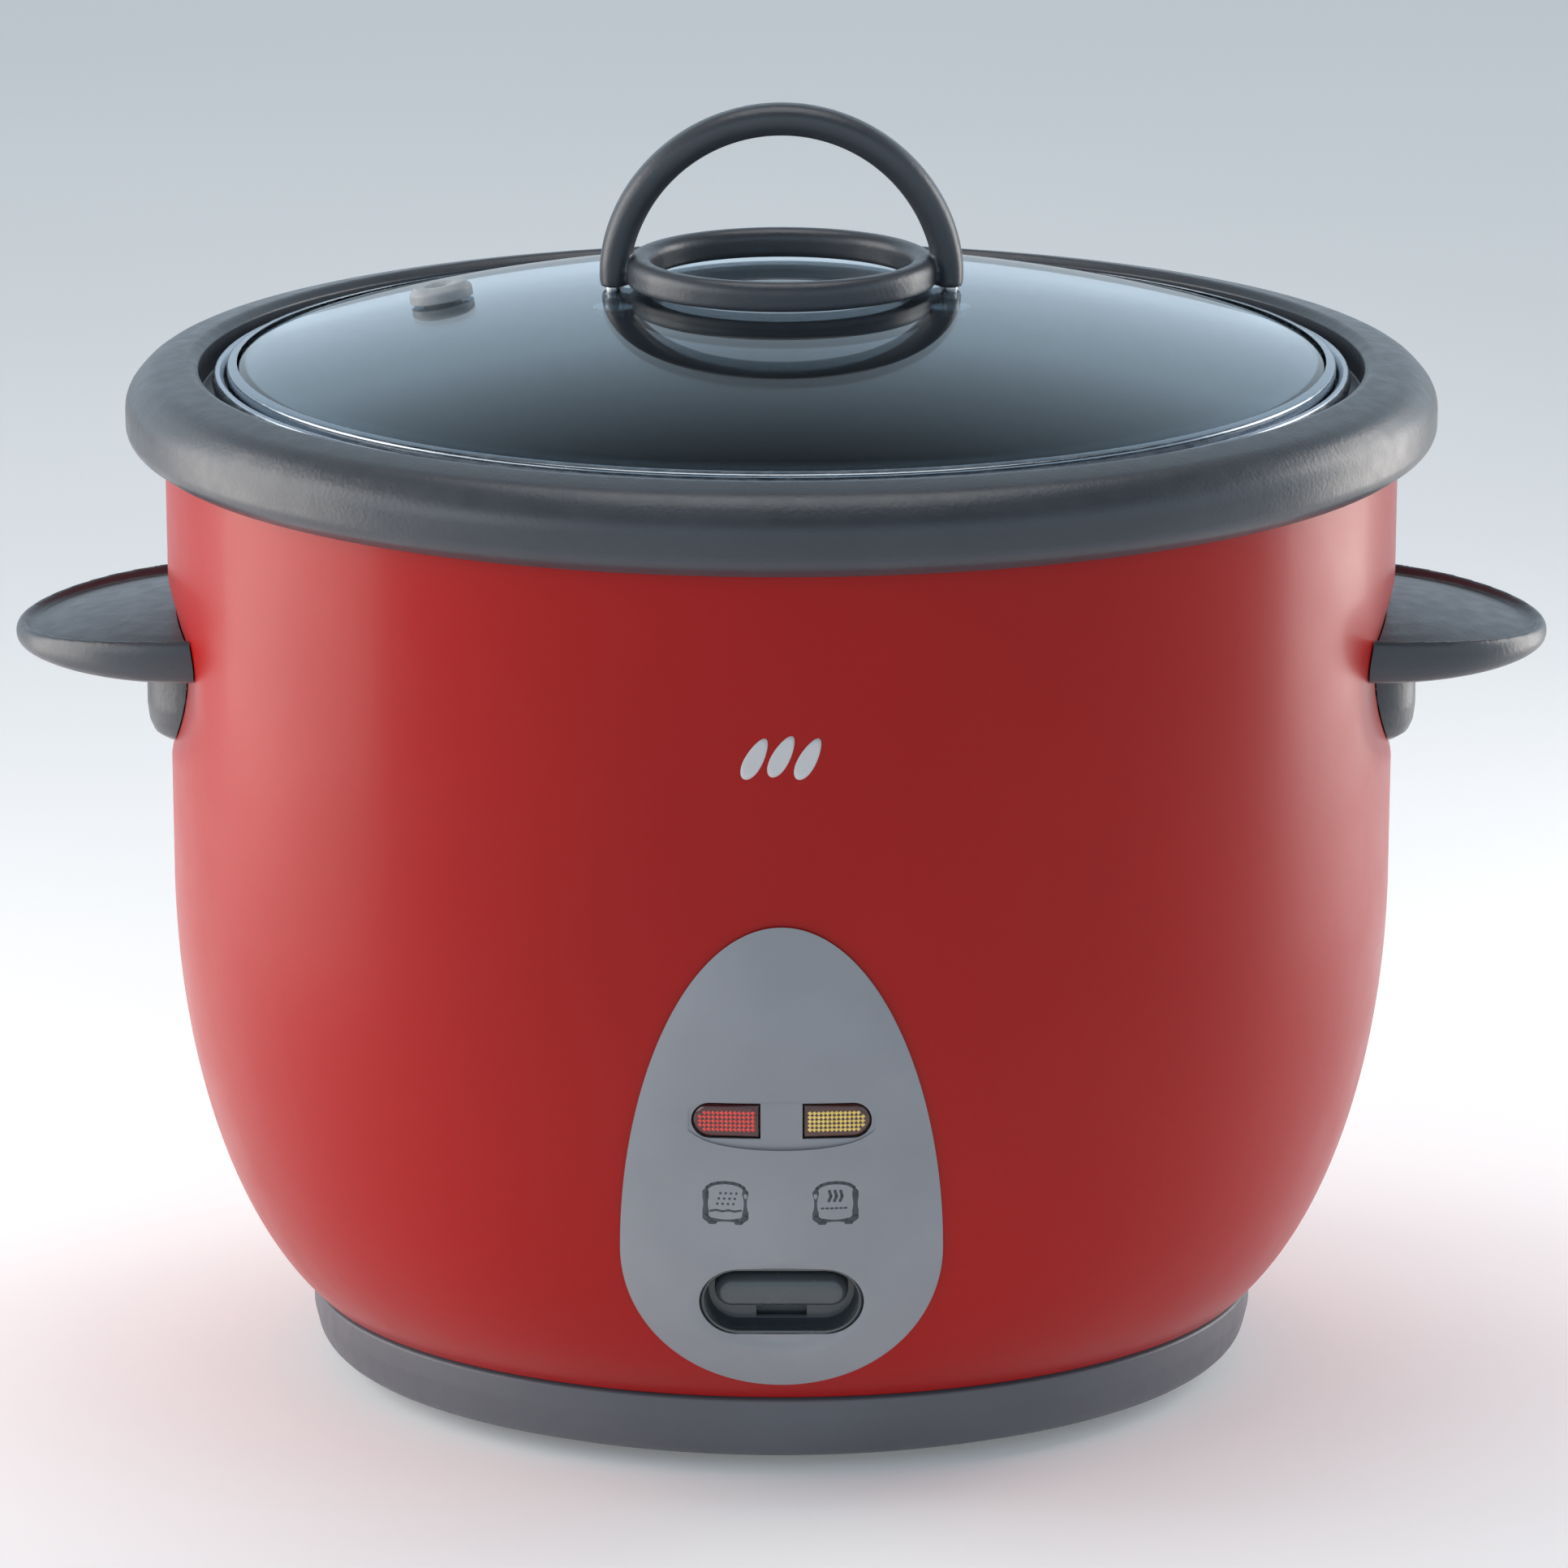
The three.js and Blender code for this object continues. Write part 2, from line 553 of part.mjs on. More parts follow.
/** Calls a maker for each of the three posts that carry the heating plate. */
function aroundHeaterPosts(make) {
  aroundCircle(3, ELEMENT_R, -30, make);
}

function linerAndHeater() {
  const corner = LINER_CORNER;
  const inner = LINER_R - 1;
  const floorR = inner - corner;
  const bend = LINER_FLOOR_Z + corner;
  const liner = turned([
    [123.4, 195.2], [123.4, 196.2], [inner, 196.2], ...arc(floorR, bend, corner, corner, 0, -90, 3),
    [SENSOR_TUBE_R + 1, LINER_FLOOR_Z], [SENSOR_TUBE_R + 1, LINER_FLOOR_Z - 1],
    ...arc(floorR, bend, corner + 1, corner + 1, -90, 0, 3), [LINER_R, 195.2],
  ], 36);
  const ports = TERMINALS.map(([x]) => post(5, x, TERMINAL_Y, 40, 60, 10));
  aroundHeaterPosts((_, x, y) => ports.push(post(POST_SHANK_R + GAP, x, y, 40, 60, 12)));
  add('inner_liner', 'steel', carve([liner], ports));

  const under = HEATER_TOP_Z - HEATER_THICK;
  add('heating_plate', 'aluminium', turned([
    [SENSOR_R + 0.7, under + 2], [SENSOR_R + 0.7, HEATER_TOP_Z], [HEATER_R - 2.5, HEATER_TOP_Z],
    [HEATER_R, HEATER_TOP_Z - 2], [HEATER_R, under + 4], [ELEMENT_R + 9, under + 4],
    [ELEMENT_R + 6, under], [ELEMENT_R - 6, under], [ELEMENT_R - 9, under + 4], [30, under + 4],
    [28, under + 2],
  ], 32));
  aroundHeaterPosts((n, x, y) => {
    const shoulder = post(POST_SHOULDER_R, x, y, LINER_FLOOR_Z + GAP, under - GAP, 12);
    const shank = post(POST_SHANK_R, x, y, PLATE_Z + PLATE_THICK + GAP, LINER_FLOOR_Z + 1, 12);
    const bore = post(BOTTOM_SCREW.boreR, x, y, 0, BOTTOM_SCREW.tipZ + 1, 10);
    add(`heater_post_${n}`, 'steel', carve([shoulder, shank], [bore]));
  });
  for (const [x, name] of TERMINALS) {
    const tab = box(x - 3.2, x + 3.2, TERMINAL_Y - 0.5, TERMINAL_Y + 0.5, 31, 41);
    add(name, 'copper', carve([post(2.6, x, TERMINAL_Y, 38, under - GAP, 10), tab]));
  }
}

function sensor() {
  const top = HEATER_TOP_Z;
  add('sensor_cap', 'aluminium', turned([
    [0, top], [SENSOR_R - 1, top], [SENSOR_R, top - 1], [SENSOR_R, top - 7], [SENSOR_R - 1, top - 7],
    [SENSOR_R - 1, top - 2], [SENSOR_TUBE_R, top - 2], [SENSOR_TUBE_R, 42], [SENSOR_TUBE_R - 1, 42],
    [SENSOR_TUBE_R - 1, top - 2], [0, top - 2],
  ], 28));
  add('sensor_ferrite', 'ferrite', post(FERRITE_R, 0, 0, FERRITE_Z, FERRITE_Z + FERRITE_TALL, 20));
  const [springR, wire, turns] = [14.6, 0.8, 4];
  add('sensor_spring', 'steel', coilSpring(springR, wire, LINER_FLOOR_Z + GAP, top - 2 - GAP, turns));
}

// ---- cook switch --------------------------------------------------------------------------------
const MICROSWITCH = { y: -61, top: 18.4 };
const BRACKET = { halfWide: 8, sheet: 1.2, y0: -53, y1: -37, z0: 17 };
const MAGNET_TOP_Z = FERRITE_Z - GAP - MAGNET_LIFT;

function magnetAssembly() {
  const magnetBase = MAGNET_TOP_Z - MAGNET_TALL;
  const collarTop = COLLAR_Z + COLLAR_THICK;
  add('magnet', 'ferrite', post(MAGNET_R, 0, 0, magnetBase, MAGNET_TOP_Z, 20));
  add('magnet_rod', 'steel', carve([
    post(ROD_R, 0, 0, ROD_TIP_Z, magnetBase - GAP, 10), post(COLLAR_R, 0, 0, COLLAR_Z, collarTop, 14),
  ]));
  const [springR, wire, turns] = [3.9, 0.55, 4];
  add('magnet_spring', 'steel', coilSpring(springR, wire, collarTop + GAP, GUIDE_Z - GAP, turns));
}

function leverAssembly() {
  const half = LEVER_WIDE / 2;
  const low = PIVOT.z - LEVER_THICK / 2;
  const high = PIVOT.z + LEVER_THICK / 2;
  const strip = box(-half, half, KNOB_STEM.legY - 1.5, 7, low, high);
  const barrel = rodX(3.2, -half, half, PIVOT.y, PIVOT.z, 16);
  add('lever_arm', 'steel', carve([strip, barrel], [
    rodX(1.8, -half - 1, half + 1, PIVOT.y, PIVOT.z, 12), box(-2.8, 2.8, -3.4, 3.4, low - 1, high + 1),
  ]));
  const pinHalf = BRACKET.halfWide + 1.5;
  add('lever_pivot_pin', 'steel', rodX(1.5, -pinHalf, pinHalf, PIVOT.y, PIVOT.z, 12));

  const cheek = (side) => box(
    Math.min(side * 6.8, side * BRACKET.halfWide), Math.max(side * 6.8, side * BRACKET.halfWide),
    BRACKET.y0, BRACKET.y1, BRACKET.z0, LINER_FLOOR_Z - 1 - GAP);
  const roof = box(-BRACKET.halfWide, BRACKET.halfWide, BRACKET.y0, BRACKET.y1,
    LINER_FLOOR_Z - 1 - GAP - BRACKET.sheet, LINER_FLOOR_Z - 1 - GAP);
  const shelf = box(-BRACKET.halfWide, BRACKET.halfWide, BRACKET.y0, 8, GUIDE_Z, GUIDE_Z + BRACKET.sheet);
  add('switch_bracket', 'steel', carve([cheek(-1), cheek(1), roof, shelf], [
    rodX(1.8, -20, 20, PIVOT.y, PIVOT.z, 12), post(2.4, 0, 0, 30, 40, 12),
  ]));

  const bar = prismY(stadium(KNOB.wide, KNOB.tall, KNOB.z), KNOB.frontY, KNOB.backY, 6);
  const stemLow = KNOB_STEM.z - KNOB_STEM.tall / 2;
  const stemHigh = KNOB_STEM.z + KNOB_STEM.tall / 2;
  const wide = KNOB_STEM.halfWide;
  const legBack = KNOB_STEM.legY + KNOB_STEM.legDeep / 2;
  const legFront = KNOB_STEM.legY - KNOB_STEM.legDeep / 2;
  add('switch_knob', 'dark', carve([
    bar,
    box(-wide, wide, KNOB.backY - 1, legBack, stemLow, stemHigh),
    box(-wide, wide, legFront, legBack, low - 1.8, stemHigh),
    box(-SHUTTER.halfWide, SHUTTER.halfWide, SHUTTER.frontY, SHUTTER.frontY + SHUTTER.thick,
      SHUTTER.lowZ, stemLow + 1),
  ], [box(-half - 1, half + 1, KNOB_STEM.legY - 1.8, legBack + 1, low - GAP, high + GAP)]));

  const { y, top } = MICROSWITCH;
  const block = box(-5, 5, y - 10, y + 8, PLATE_Z + PLATE_THICK + GAP, top);
  add('microswitch', 'dark', carve([block], [post(1.9, 0, y, top - 5, top + 1, 12)]));
  add('microswitch_button', 'redLens', post(1.6, 0, y, top - 2.4, low - GAP, 12));
}

// ---- thermal parts and wiring -------------------------------------------------------------------
const THERMOSTAT = { x: -42, y: 12, r: 9, tall: 7 };
const FUSE = { r: 3.2, x0: 22, x1: 48, y: 34, z: LINER_FLOOR_Z - 4.9 };

function thermalParts() {
  const ceiling = LINER_FLOOR_Z - 1 - GAP;
  const { x, y, r, tall } = THERMOSTAT;
  add('warm_thermostat', 'insulation', post(r, x, y, ceiling - tall, ceiling, 18));
  add('thermal_fuse', 'insulation', rodX(FUSE.r, FUSE.x0, FUSE.x1, FUSE.y, FUSE.z, 12));
}

function wiring() {
  const radius = 1.3;
  const steps = 14;
  const route = (name, colour, points) => add(name, colour, tube(points, radius, steps));
  const back = INLET.backY - 3 - GAP;
  const tabZ = 31 - GAP;
  route('wire_live', 'copper', [
    [-PIN_X, back, INLET.z], [-PIN_X, 85, INLET.z], [0, 76, 20], [36, 67, 20], [57, 44, 32],
    [54, FUSE.y, 43.6],
    [FUSE.x1 + 0.5, FUSE.y, FUSE.z]]);
  route('wire_neutral', 'steel', [
    [PIN_X, back, INLET.z], [PIN_X, 85, INLET.z], [14, 74, 26], [22, 62, 22], [TERMINAL_X, TERMINAL_Y, 26],
    [TERMINAL_X, TERMINAL_Y, tabZ]]);
  route('wire_switch', 'dark', [
    [FUSE.x0 - 0.5, FUSE.y, FUSE.z], [18, FUSE.y, FUSE.z], [13, 24, 22], [20, -10, 12], [18, -44, 10],
    [10, -62, 11],
    [5.4, -62, 11]]);
  route('wire_element', 'redLens', [
    [-5.4, -60, 12], [-10, -60, 12], [-28, -20, 14], [-32, 20, 14], [-27, 50, 18],
    [-TERMINAL_X, TERMINAL_Y, 26],
    [-TERMINAL_X, TERMINAL_Y, tabZ]]);
  const boardLow = LENS.z - LAMP_BOARD.tall / 2 - GAP;
  route('wire_lamps', 'insulation', [
    [-17, -115.9, boardLow], [-17, -115.9, boardLow - 3], [-21, -113, 62], [-24, -103, 47],
    [-24, -93, 32],
    [-16, -83, 17], [-10, -68, 12], [-5.4, -68, 12]]);
}

// ---- pot ----------------------------------------------------------------------------------------
function innerPot() {
  const floorR = POT_R - POT_CORNER;
  const bendZ = POT_FLOOR_Z + POT_CORNER;
  const inside = POT_R - POT_WALL;
  const insideCorner = POT_CORNER - POT_WALL;
  const lip = [
    [110.6, 201.4], [115.2, 201.4], [116.4, 202.9], [116.4, 206.2], [114.8, POT_LIP_TOP_Z],
    [112.8, 206.4], [112.8, 202.8], [109.4, 202.6], [inside, 200.6],
  ];
  add('inner_pot', 'aluminium', turned([
    [0, POT_FLOOR_Z], ...arc(floorR, bendZ, POT_CORNER, POT_CORNER, -90, 0, 4), [POT_R, 200.2],
    ...lip, ...arc(floorR, bendZ, insideCorner, insideCorner, 0, -90, 4), [0, POT_FLOOR_Z + POT_WALL],
  ]));
}

// ---- lid ----------------------------------------------------------------------------------------
/** Height of the glass's upper face at a radius. */
function lidHeight(r) {
  return LID_APEX_Z - LID_SPHERE_R + Math.sqrt(LID_SPHERE_R ** 2 - r * r);
}

function lid() {
  const radii = [24, 50, 74, 95, LID_EDGE_R];
  const upper = radii.map((r) => [r, lidHeight(r)]);
  const lower = [...radii].reverse().map((r) => [r, lidHeight(r) - LID_THICK]);
  const dome = turned([[0, LID_APEX_Z - LID_THICK], [0, LID_APEX_Z], ...upper, ...lower]);
  const boltHoles = [-1, 1].map((side) => post(GRIP_SCREW.clearR, side * ARCH_R, 0, 200, 240, 10));
  const ventHole = onDome(post(VENT.neckR + GAP + 0.1, 0, 0, -10, 10, 12));
  add('lid_glass', 'glass', carve([dome], [...boltHoles, ventHole]));

  const edgeTop = lidHeight(LID_EDGE_R);
  const [inner, outer, sheet] = [LID_EDGE_R - 2, LID_EDGE_R + 0.7, 0.4];
  const lipZ = lidHeight(inner) + GAP;
  add('lid_band', 'steel', turned([
    [inner, lipZ], [inner, lipZ + sheet], [outer, edgeTop + 0.7], [outer, 203.1], [inner, 203.1],
    [inner, 203.5], [outer - sheet, 203.5], [outer - sheet, edgeTop + 0.2],
  ]));

  [-1, 1].forEach((side) => {
    const where = side < 0 ? 'left' : 'right';
    const x = side * ARCH_R;
    const underGlass = lidHeight(ARCH_R) - LID_THICK;
    const headTop = underGlass - GRIP_SCREW.underGlass;
    add(`handle_screw_${where}`, 'steel', carve([
      post(GRIP_SCREW.headR, x, 0, headTop - GRIP_SCREW.headTall, headTop, 14),
      post(GRIP_SCREW.shankR, x, 0, headTop - 1, GRIP_SCREW.topZ, 10),
    ]));
  });
  lidHandle();
  steamVent();
}

/** Sets a piece made about the origin on the glass at the vent's place, square to the glass. */
function onDome(geometry) {
  const r = Math.hypot(VENT.x, VENT.y);
  const lean = Math.asin(r / LID_SPHERE_R);
  const tilt = new THREE.Matrix4().makeRotationAxis(new THREE.Vector3(-VENT.y / r, VENT.x / r, 0), lean);
  return geometry.applyMatrix4(tilt).translate(VENT.x, VENT.y, lidHeight(r));
}

function lidHandle() {
  const topZ = GRIP_RING_BASE_Z + GRIP_RING_TALL;
  const half = GRIP_RING_WIDE / 2;
  const ring = turned([
    [GRIP_RING_R - half, GRIP_RING_BASE_Z], [GRIP_RING_R + half, GRIP_RING_BASE_Z],
    [GRIP_RING_R + half, topZ - 1.3], [GRIP_RING_R + 1.2, topZ], [GRIP_RING_R - 1.2, topZ],
    [GRIP_RING_R - half, topZ - 1.3],
  ], 28);
  const steps = 16;
  const riseZ = ARCH_TOP_Z - ARCH_WIDE / 2 - ARCH_BASE_Z;
  const centreLine = new THREE.EllipseCurve(0, 0, ARCH_R, riseZ, 0, Math.PI, false, 0);
  const points = centreLine.getPoints(steps).map((p) => new THREE.Vector3(p.x, 0, ARCH_BASE_Z + p.y));
  const extrudePath = new THREE.CatmullRomCurve3(points, false, 'centripetal');
  const section = new THREE.Shape().absellipse(0, 0, ARCH_DEEP / 2, ARCH_WIDE / 2, 0, Math.PI * 2);
  const bar = new THREE.ExtrudeGeometry(section, { steps, curveSegments: 6, extrudePath });
  const bores = [-1, 1].map((side) => post(GRIP_BORE_R, side * ARCH_R, 0, 210, GRIP_BORE_TOP_Z, 10));
  const below = box(-60, 60, -20, 20, 200, ARCH_BASE_Z);
  const arch = carve([bar], [below]);
  add('lid_handle', 'rim', carve([ring, arch], bores));
}

function steamVent() {
  const { r, neckR, boreR, tall, below } = VENT;
  const [flangeR, flangeZ, seatZ] = [r - 0.6, -LID_THICK - below, -LID_THICK - GAP];
  add('steam_vent', 'silicone', onDome(turned([
    [boreR, flangeZ], [flangeR, flangeZ], [flangeR, seatZ], [neckR, seatZ], [neckR, GAP + 0.1],
    [r, GAP + 0.1], [r, tall - 1], [r - 1, tall], [boreR, tall],
  ], 24)));
}

outerBody();
rimRing();
baseRing();
bottomPlate();
feet();
sideHandle(1, 'side_handle_right');
sideHandle(-1, 'side_handle_left');
controlPanel();
lampsAndWell();
powerInlet();
linerAndHeater();
sensor();
magnetAssembly();
leverAssembly();
thermalParts();
wiring();
innerPot();
lid();

export default model;
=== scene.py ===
"""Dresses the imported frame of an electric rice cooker: red body, dark rim, glass lid, pot and panel."""

import json
import logging
import math
from dataclasses import dataclass, field
from enum import Enum
from typing import Any, Callable, Iterable, Sequence

import bpy
from mathutils import Matrix, Vector

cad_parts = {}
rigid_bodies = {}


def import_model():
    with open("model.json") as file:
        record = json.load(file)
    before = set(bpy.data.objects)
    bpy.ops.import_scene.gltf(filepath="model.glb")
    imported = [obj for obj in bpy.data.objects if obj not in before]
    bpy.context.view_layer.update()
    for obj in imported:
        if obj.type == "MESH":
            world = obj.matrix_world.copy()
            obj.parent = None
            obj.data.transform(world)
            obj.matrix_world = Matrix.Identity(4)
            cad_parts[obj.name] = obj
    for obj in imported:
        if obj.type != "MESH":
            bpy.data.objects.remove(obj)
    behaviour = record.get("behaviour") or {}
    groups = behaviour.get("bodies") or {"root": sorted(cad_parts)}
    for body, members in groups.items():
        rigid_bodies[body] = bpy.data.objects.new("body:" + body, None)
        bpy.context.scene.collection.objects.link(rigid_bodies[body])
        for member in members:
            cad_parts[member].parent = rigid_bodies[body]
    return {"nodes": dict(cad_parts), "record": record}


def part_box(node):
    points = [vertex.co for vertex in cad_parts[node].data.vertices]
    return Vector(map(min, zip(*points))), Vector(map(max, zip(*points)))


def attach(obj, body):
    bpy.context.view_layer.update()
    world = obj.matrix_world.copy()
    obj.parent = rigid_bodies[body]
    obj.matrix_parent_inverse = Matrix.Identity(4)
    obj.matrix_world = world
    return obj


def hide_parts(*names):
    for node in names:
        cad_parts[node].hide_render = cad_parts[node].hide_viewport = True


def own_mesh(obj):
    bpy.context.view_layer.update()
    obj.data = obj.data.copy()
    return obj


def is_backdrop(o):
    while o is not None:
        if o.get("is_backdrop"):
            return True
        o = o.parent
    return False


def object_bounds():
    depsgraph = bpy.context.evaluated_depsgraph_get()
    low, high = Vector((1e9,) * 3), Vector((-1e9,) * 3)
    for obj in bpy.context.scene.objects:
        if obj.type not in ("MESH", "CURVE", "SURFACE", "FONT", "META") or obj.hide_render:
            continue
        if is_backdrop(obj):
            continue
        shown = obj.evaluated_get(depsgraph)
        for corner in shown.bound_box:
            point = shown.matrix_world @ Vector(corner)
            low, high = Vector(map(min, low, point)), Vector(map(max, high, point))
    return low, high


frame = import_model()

CAD_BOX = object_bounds()
LOG = logging.getLogger("rice_cooker")
MM = 0.001
FINE = 192  # facets round the large turned pieces
NOISE_LOW, NOISE_HIGH = 0.3, 0.7  # the stretch of a noise value that is used

Corner = tuple[float, float, float]
Flat = tuple[float, float]
Colour = tuple[float, float, float, float]
Piece = bpy.types.Object


class Body(Enum):
    """The moving bodies of the cooker, by their names in the frame."""

    HOUSING = "housing"
    POT = "inner_pot"
    LID = "lid"
    LEVER = "switch_lever"
    PLUNGER = "magnet_plunger"
    BUTTON = "switch_button"
    SENSOR = "sensor"


# ---- finishes -----------------------------------------------------------------------------------
def linear(red: float, green: float, blue: float) -> Colour:
    """Turns display values from 0 to 255 into a linear colour."""
    shares = [value / 255 for value in (red, green, blue)]
    bent = [s / 12.92 if s <= 0.04045 else ((s + 0.055) / 1.055) ** 2.4 for s in shares]
    return (bent[0], bent[1], bent[2], 1.0)


class ShaderGraph:
    """A material under construction: one Principled shader and the nodes that feed it."""

    def __init__(self, name: str) -> None:
        """Starts an empty material of that name."""
        self.material = bpy.data.materials.new(name)
        self.material.use_nodes = True
        self.tree = self.material.node_tree
        self.tree.nodes.clear()
        self.shader = self.tree.nodes.new("ShaderNodeBsdfPrincipled")
        output = self.tree.nodes.new("ShaderNodeOutputMaterial")
        self.tree.links.new(self.shader.outputs["BSDF"], output.inputs["Surface"])
        self.place = self.tree.nodes.new("ShaderNodeTexCoord").outputs["Object"]

    def set(self, **values: Any) -> None:
        """Sets the shader's own sockets; underscores in a name stand for spaces."""
        for name, value in values.items():
            self.shader.inputs[name.replace("_", " ")].default_value = value

    def link(self, source: Any, socket: str) -> None:
        """Feeds a shader socket."""
        self.tree.links.new(source, self.shader.inputs[socket])

    def stretched(self, scale: tuple[float, float, float]) -> Any:
        """Object coordinates multiplied axis by axis."""
        node = self.tree.nodes.new("ShaderNodeMapping")
        node.inputs["Scale"].default_value = scale
        self.tree.links.new(self.place, node.inputs["Vector"])
        return node.outputs["Vector"]

    def noise(self, scale: float, detail: float = 2.0, vector: Any = None) -> Any:
        """A noise value from 0 to 1 at a scale in features per metre."""
        node = self.tree.nodes.new("ShaderNodeTexNoise")
        node.inputs["Scale"].default_value = scale
        node.inputs["Detail"].default_value = detail
        self.tree.links.new(vector or self.place, node.inputs["Vector"])
        return node.outputs["Fac"]

    def gloss(self, value: Any, low: float, high: float) -> None:
        """Varies the roughness from low to high with a noise value."""
        node = self.tree.nodes.new("ShaderNodeMapRange")
        ends = {"From Min": NOISE_LOW, "From Max": NOISE_HIGH, "To Min": low, "To Max": high}
        for name, number in ends.items():
            node.inputs[name].default_value = number
        self.tree.links.new(value, node.inputs["Value"])
        self.link(node.outputs["Result"], "Roughness")

    def tint(self, share: Any, first: Sequence[float], second: Sequence[float]) -> None:
        """Varies the base colour between two colours with a noise value."""
        node = self.tree.nodes.new("ShaderNodeValToRGB")
        for element, place, colour in zip(node.color_ramp.elements, (NOISE_LOW, NOISE_HIGH), (first, second)):
            element.position = place
            element.color = colour
        self.tree.links.new(share, node.inputs["Fac"])
        self.link(node.outputs["Color"], "Base Color")

    def bump(self, height: Any, depth: float) -> None:
        """Raises the surface by a height value; the depth is in metres."""
        node = self.tree.nodes.new("ShaderNodeBump")
        node.inputs["Strength"].default_value = 1.0
        node.inputs["Distance"].default_value = depth
        self.tree.links.new(height, node.inputs["Height"])
        self.link(node.outputs["Normal"], "Normal")


def shade(colour: Sequence[float], factor: float) -> Colour:
    """The same colour, lighter or darker."""
    return (*(min(part * factor, 1) for part in colour[:3]), 1.0)


@dataclass(frozen=True)
class Finish:
    """What every finish has: its material's name and its main colour."""

    name: str
    colour: Colour


@dataclass(frozen=True)
class Lacquer(Finish):
    """Baked gloss lacquer on sheet steel: a deep colour, a clear coat and a faint orange peel."""

    def make(self) -> bpy.types.Material:
        """Builds the material."""
        graph = ShaderGraph(self.name)
        graph.tint(graph.noise(9), shade(self.colour, 0.94), shade(self.colour, 1.05))
        graph.gloss(graph.noise(60, 3), 0.30, 0.36)
        graph.set(Coat_Weight=0.08, Coat_Roughness=0.12, Coat_IOR=1.4, Specular_IOR_Level=0.27)
        graph.bump(graph.noise(420, 2), 0.000012)
        return graph.material


@dataclass(frozen=True)
class MouldedPlastic(Finish):
    """Injection-moulded plastic with a fine spark-eroded grain and slight tone variation."""
    roughness: float
    grain: float = 1500
    depth: float = 0.00003
    coat: float = 0.0

    def make(self) -> bpy.types.Material:
        """Builds the material."""
        graph = ShaderGraph(self.name)
        graph.tint(graph.noise(35, 4), shade(self.colour, 0.92), shade(self.colour, 1.08))
        graph.gloss(graph.noise(240, 3), self.roughness - 0.04, self.roughness + 0.05)
        graph.set(Coat_Weight=self.coat, Coat_Roughness=0.08, Specular_IOR_Level=0.55)
        graph.bump(graph.noise(self.grain, 1), self.depth)
        return graph.material


@dataclass(frozen=True)
class Metal(Finish):
    """Bare metal whose fine scratches run along a direction, or round the Z axis for turned work."""
    roughness: float
    stretch: tuple[float, float, float] = (900, 900, 900)
    turned: bool = False
    depth: float = 0.00001

    def make(self) -> bpy.types.Material:
        """Builds the material."""
        graph = ShaderGraph(self.name)
        lines = self._rings(graph) if self.turned else graph.noise(1, 4, graph.stretched(self.stretch))
        graph.tint(lines, shade(self.colour, 0.86), shade(self.colour, 1.06))
        graph.gloss(lines, self.roughness - 0.06, self.roughness + 0.08)
        graph.set(Metallic=1.0)
        graph.bump(lines, self.depth)
        return graph.material

    @staticmethod
    def _rings(graph: ShaderGraph) -> Any:
        """Fine rings about the Z axis, as a lathe tool leaves them."""
        node = graph.tree.nodes.new("ShaderNodeTexWave")
        node.wave_type = "RINGS"
        node.rings_direction = "Z"
        node.inputs["Scale"].default_value = 260
        node.inputs["Distortion"].default_value = 1.2
        node.inputs["Detail"].default_value = 3
        graph.tree.links.new(graph.place, node.inputs["Vector"])
        return node.outputs["Fac"]


@dataclass(frozen=True)
class ClearGlass(Finish):
    """Tempered glass with a cool tint and a faint film that varies over it."""

    def make(self) -> bpy.types.Material:
        """Builds the material."""
        graph = ShaderGraph(self.name)
        graph.set(Base_Color=self.colour, Transmission_Weight=1.0, IOR=1.52)
        graph.gloss(graph.noise(14, 3), 0.0, 0.06)
        return graph.material


@dataclass(frozen=True)
class Moulding(Finish):
    """Translucent moulding: silicone or a coloured lens."""
    roughness: float
    clear: float
    coat: float = 0.0
    glow: float = 0.0

    def make(self) -> bpy.types.Material:
        """Builds the material."""
        graph = ShaderGraph(self.name)
        graph.tint(graph.noise(400, 2), shade(self.colour, 0.88), shade(self.colour, 1.08))
        graph.gloss(graph.noise(700, 2), self.roughness, self.roughness + 0.08)
        graph.set(Transmission_Weight=self.clear, Coat_Weight=self.coat, IOR=1.45)
        graph.set(Emission_Color=self.colour, Emission_Strength=self.glow)
        return graph.material


@dataclass(frozen=True)
class Sleeve(Finish):
    """Woven heat-resistant sleeve on a wire."""

    def make(self) -> bpy.types.Material:
        """Builds the material."""
        graph = ShaderGraph(self.name)
        weave = graph.noise(2600, 2)
        graph.tint(weave, shade(self.colour, 0.6), shade(self.colour, 1.2))
        graph.set(Roughness=0.75)
        graph.bump(weave, 0.0001)
        return graph.material


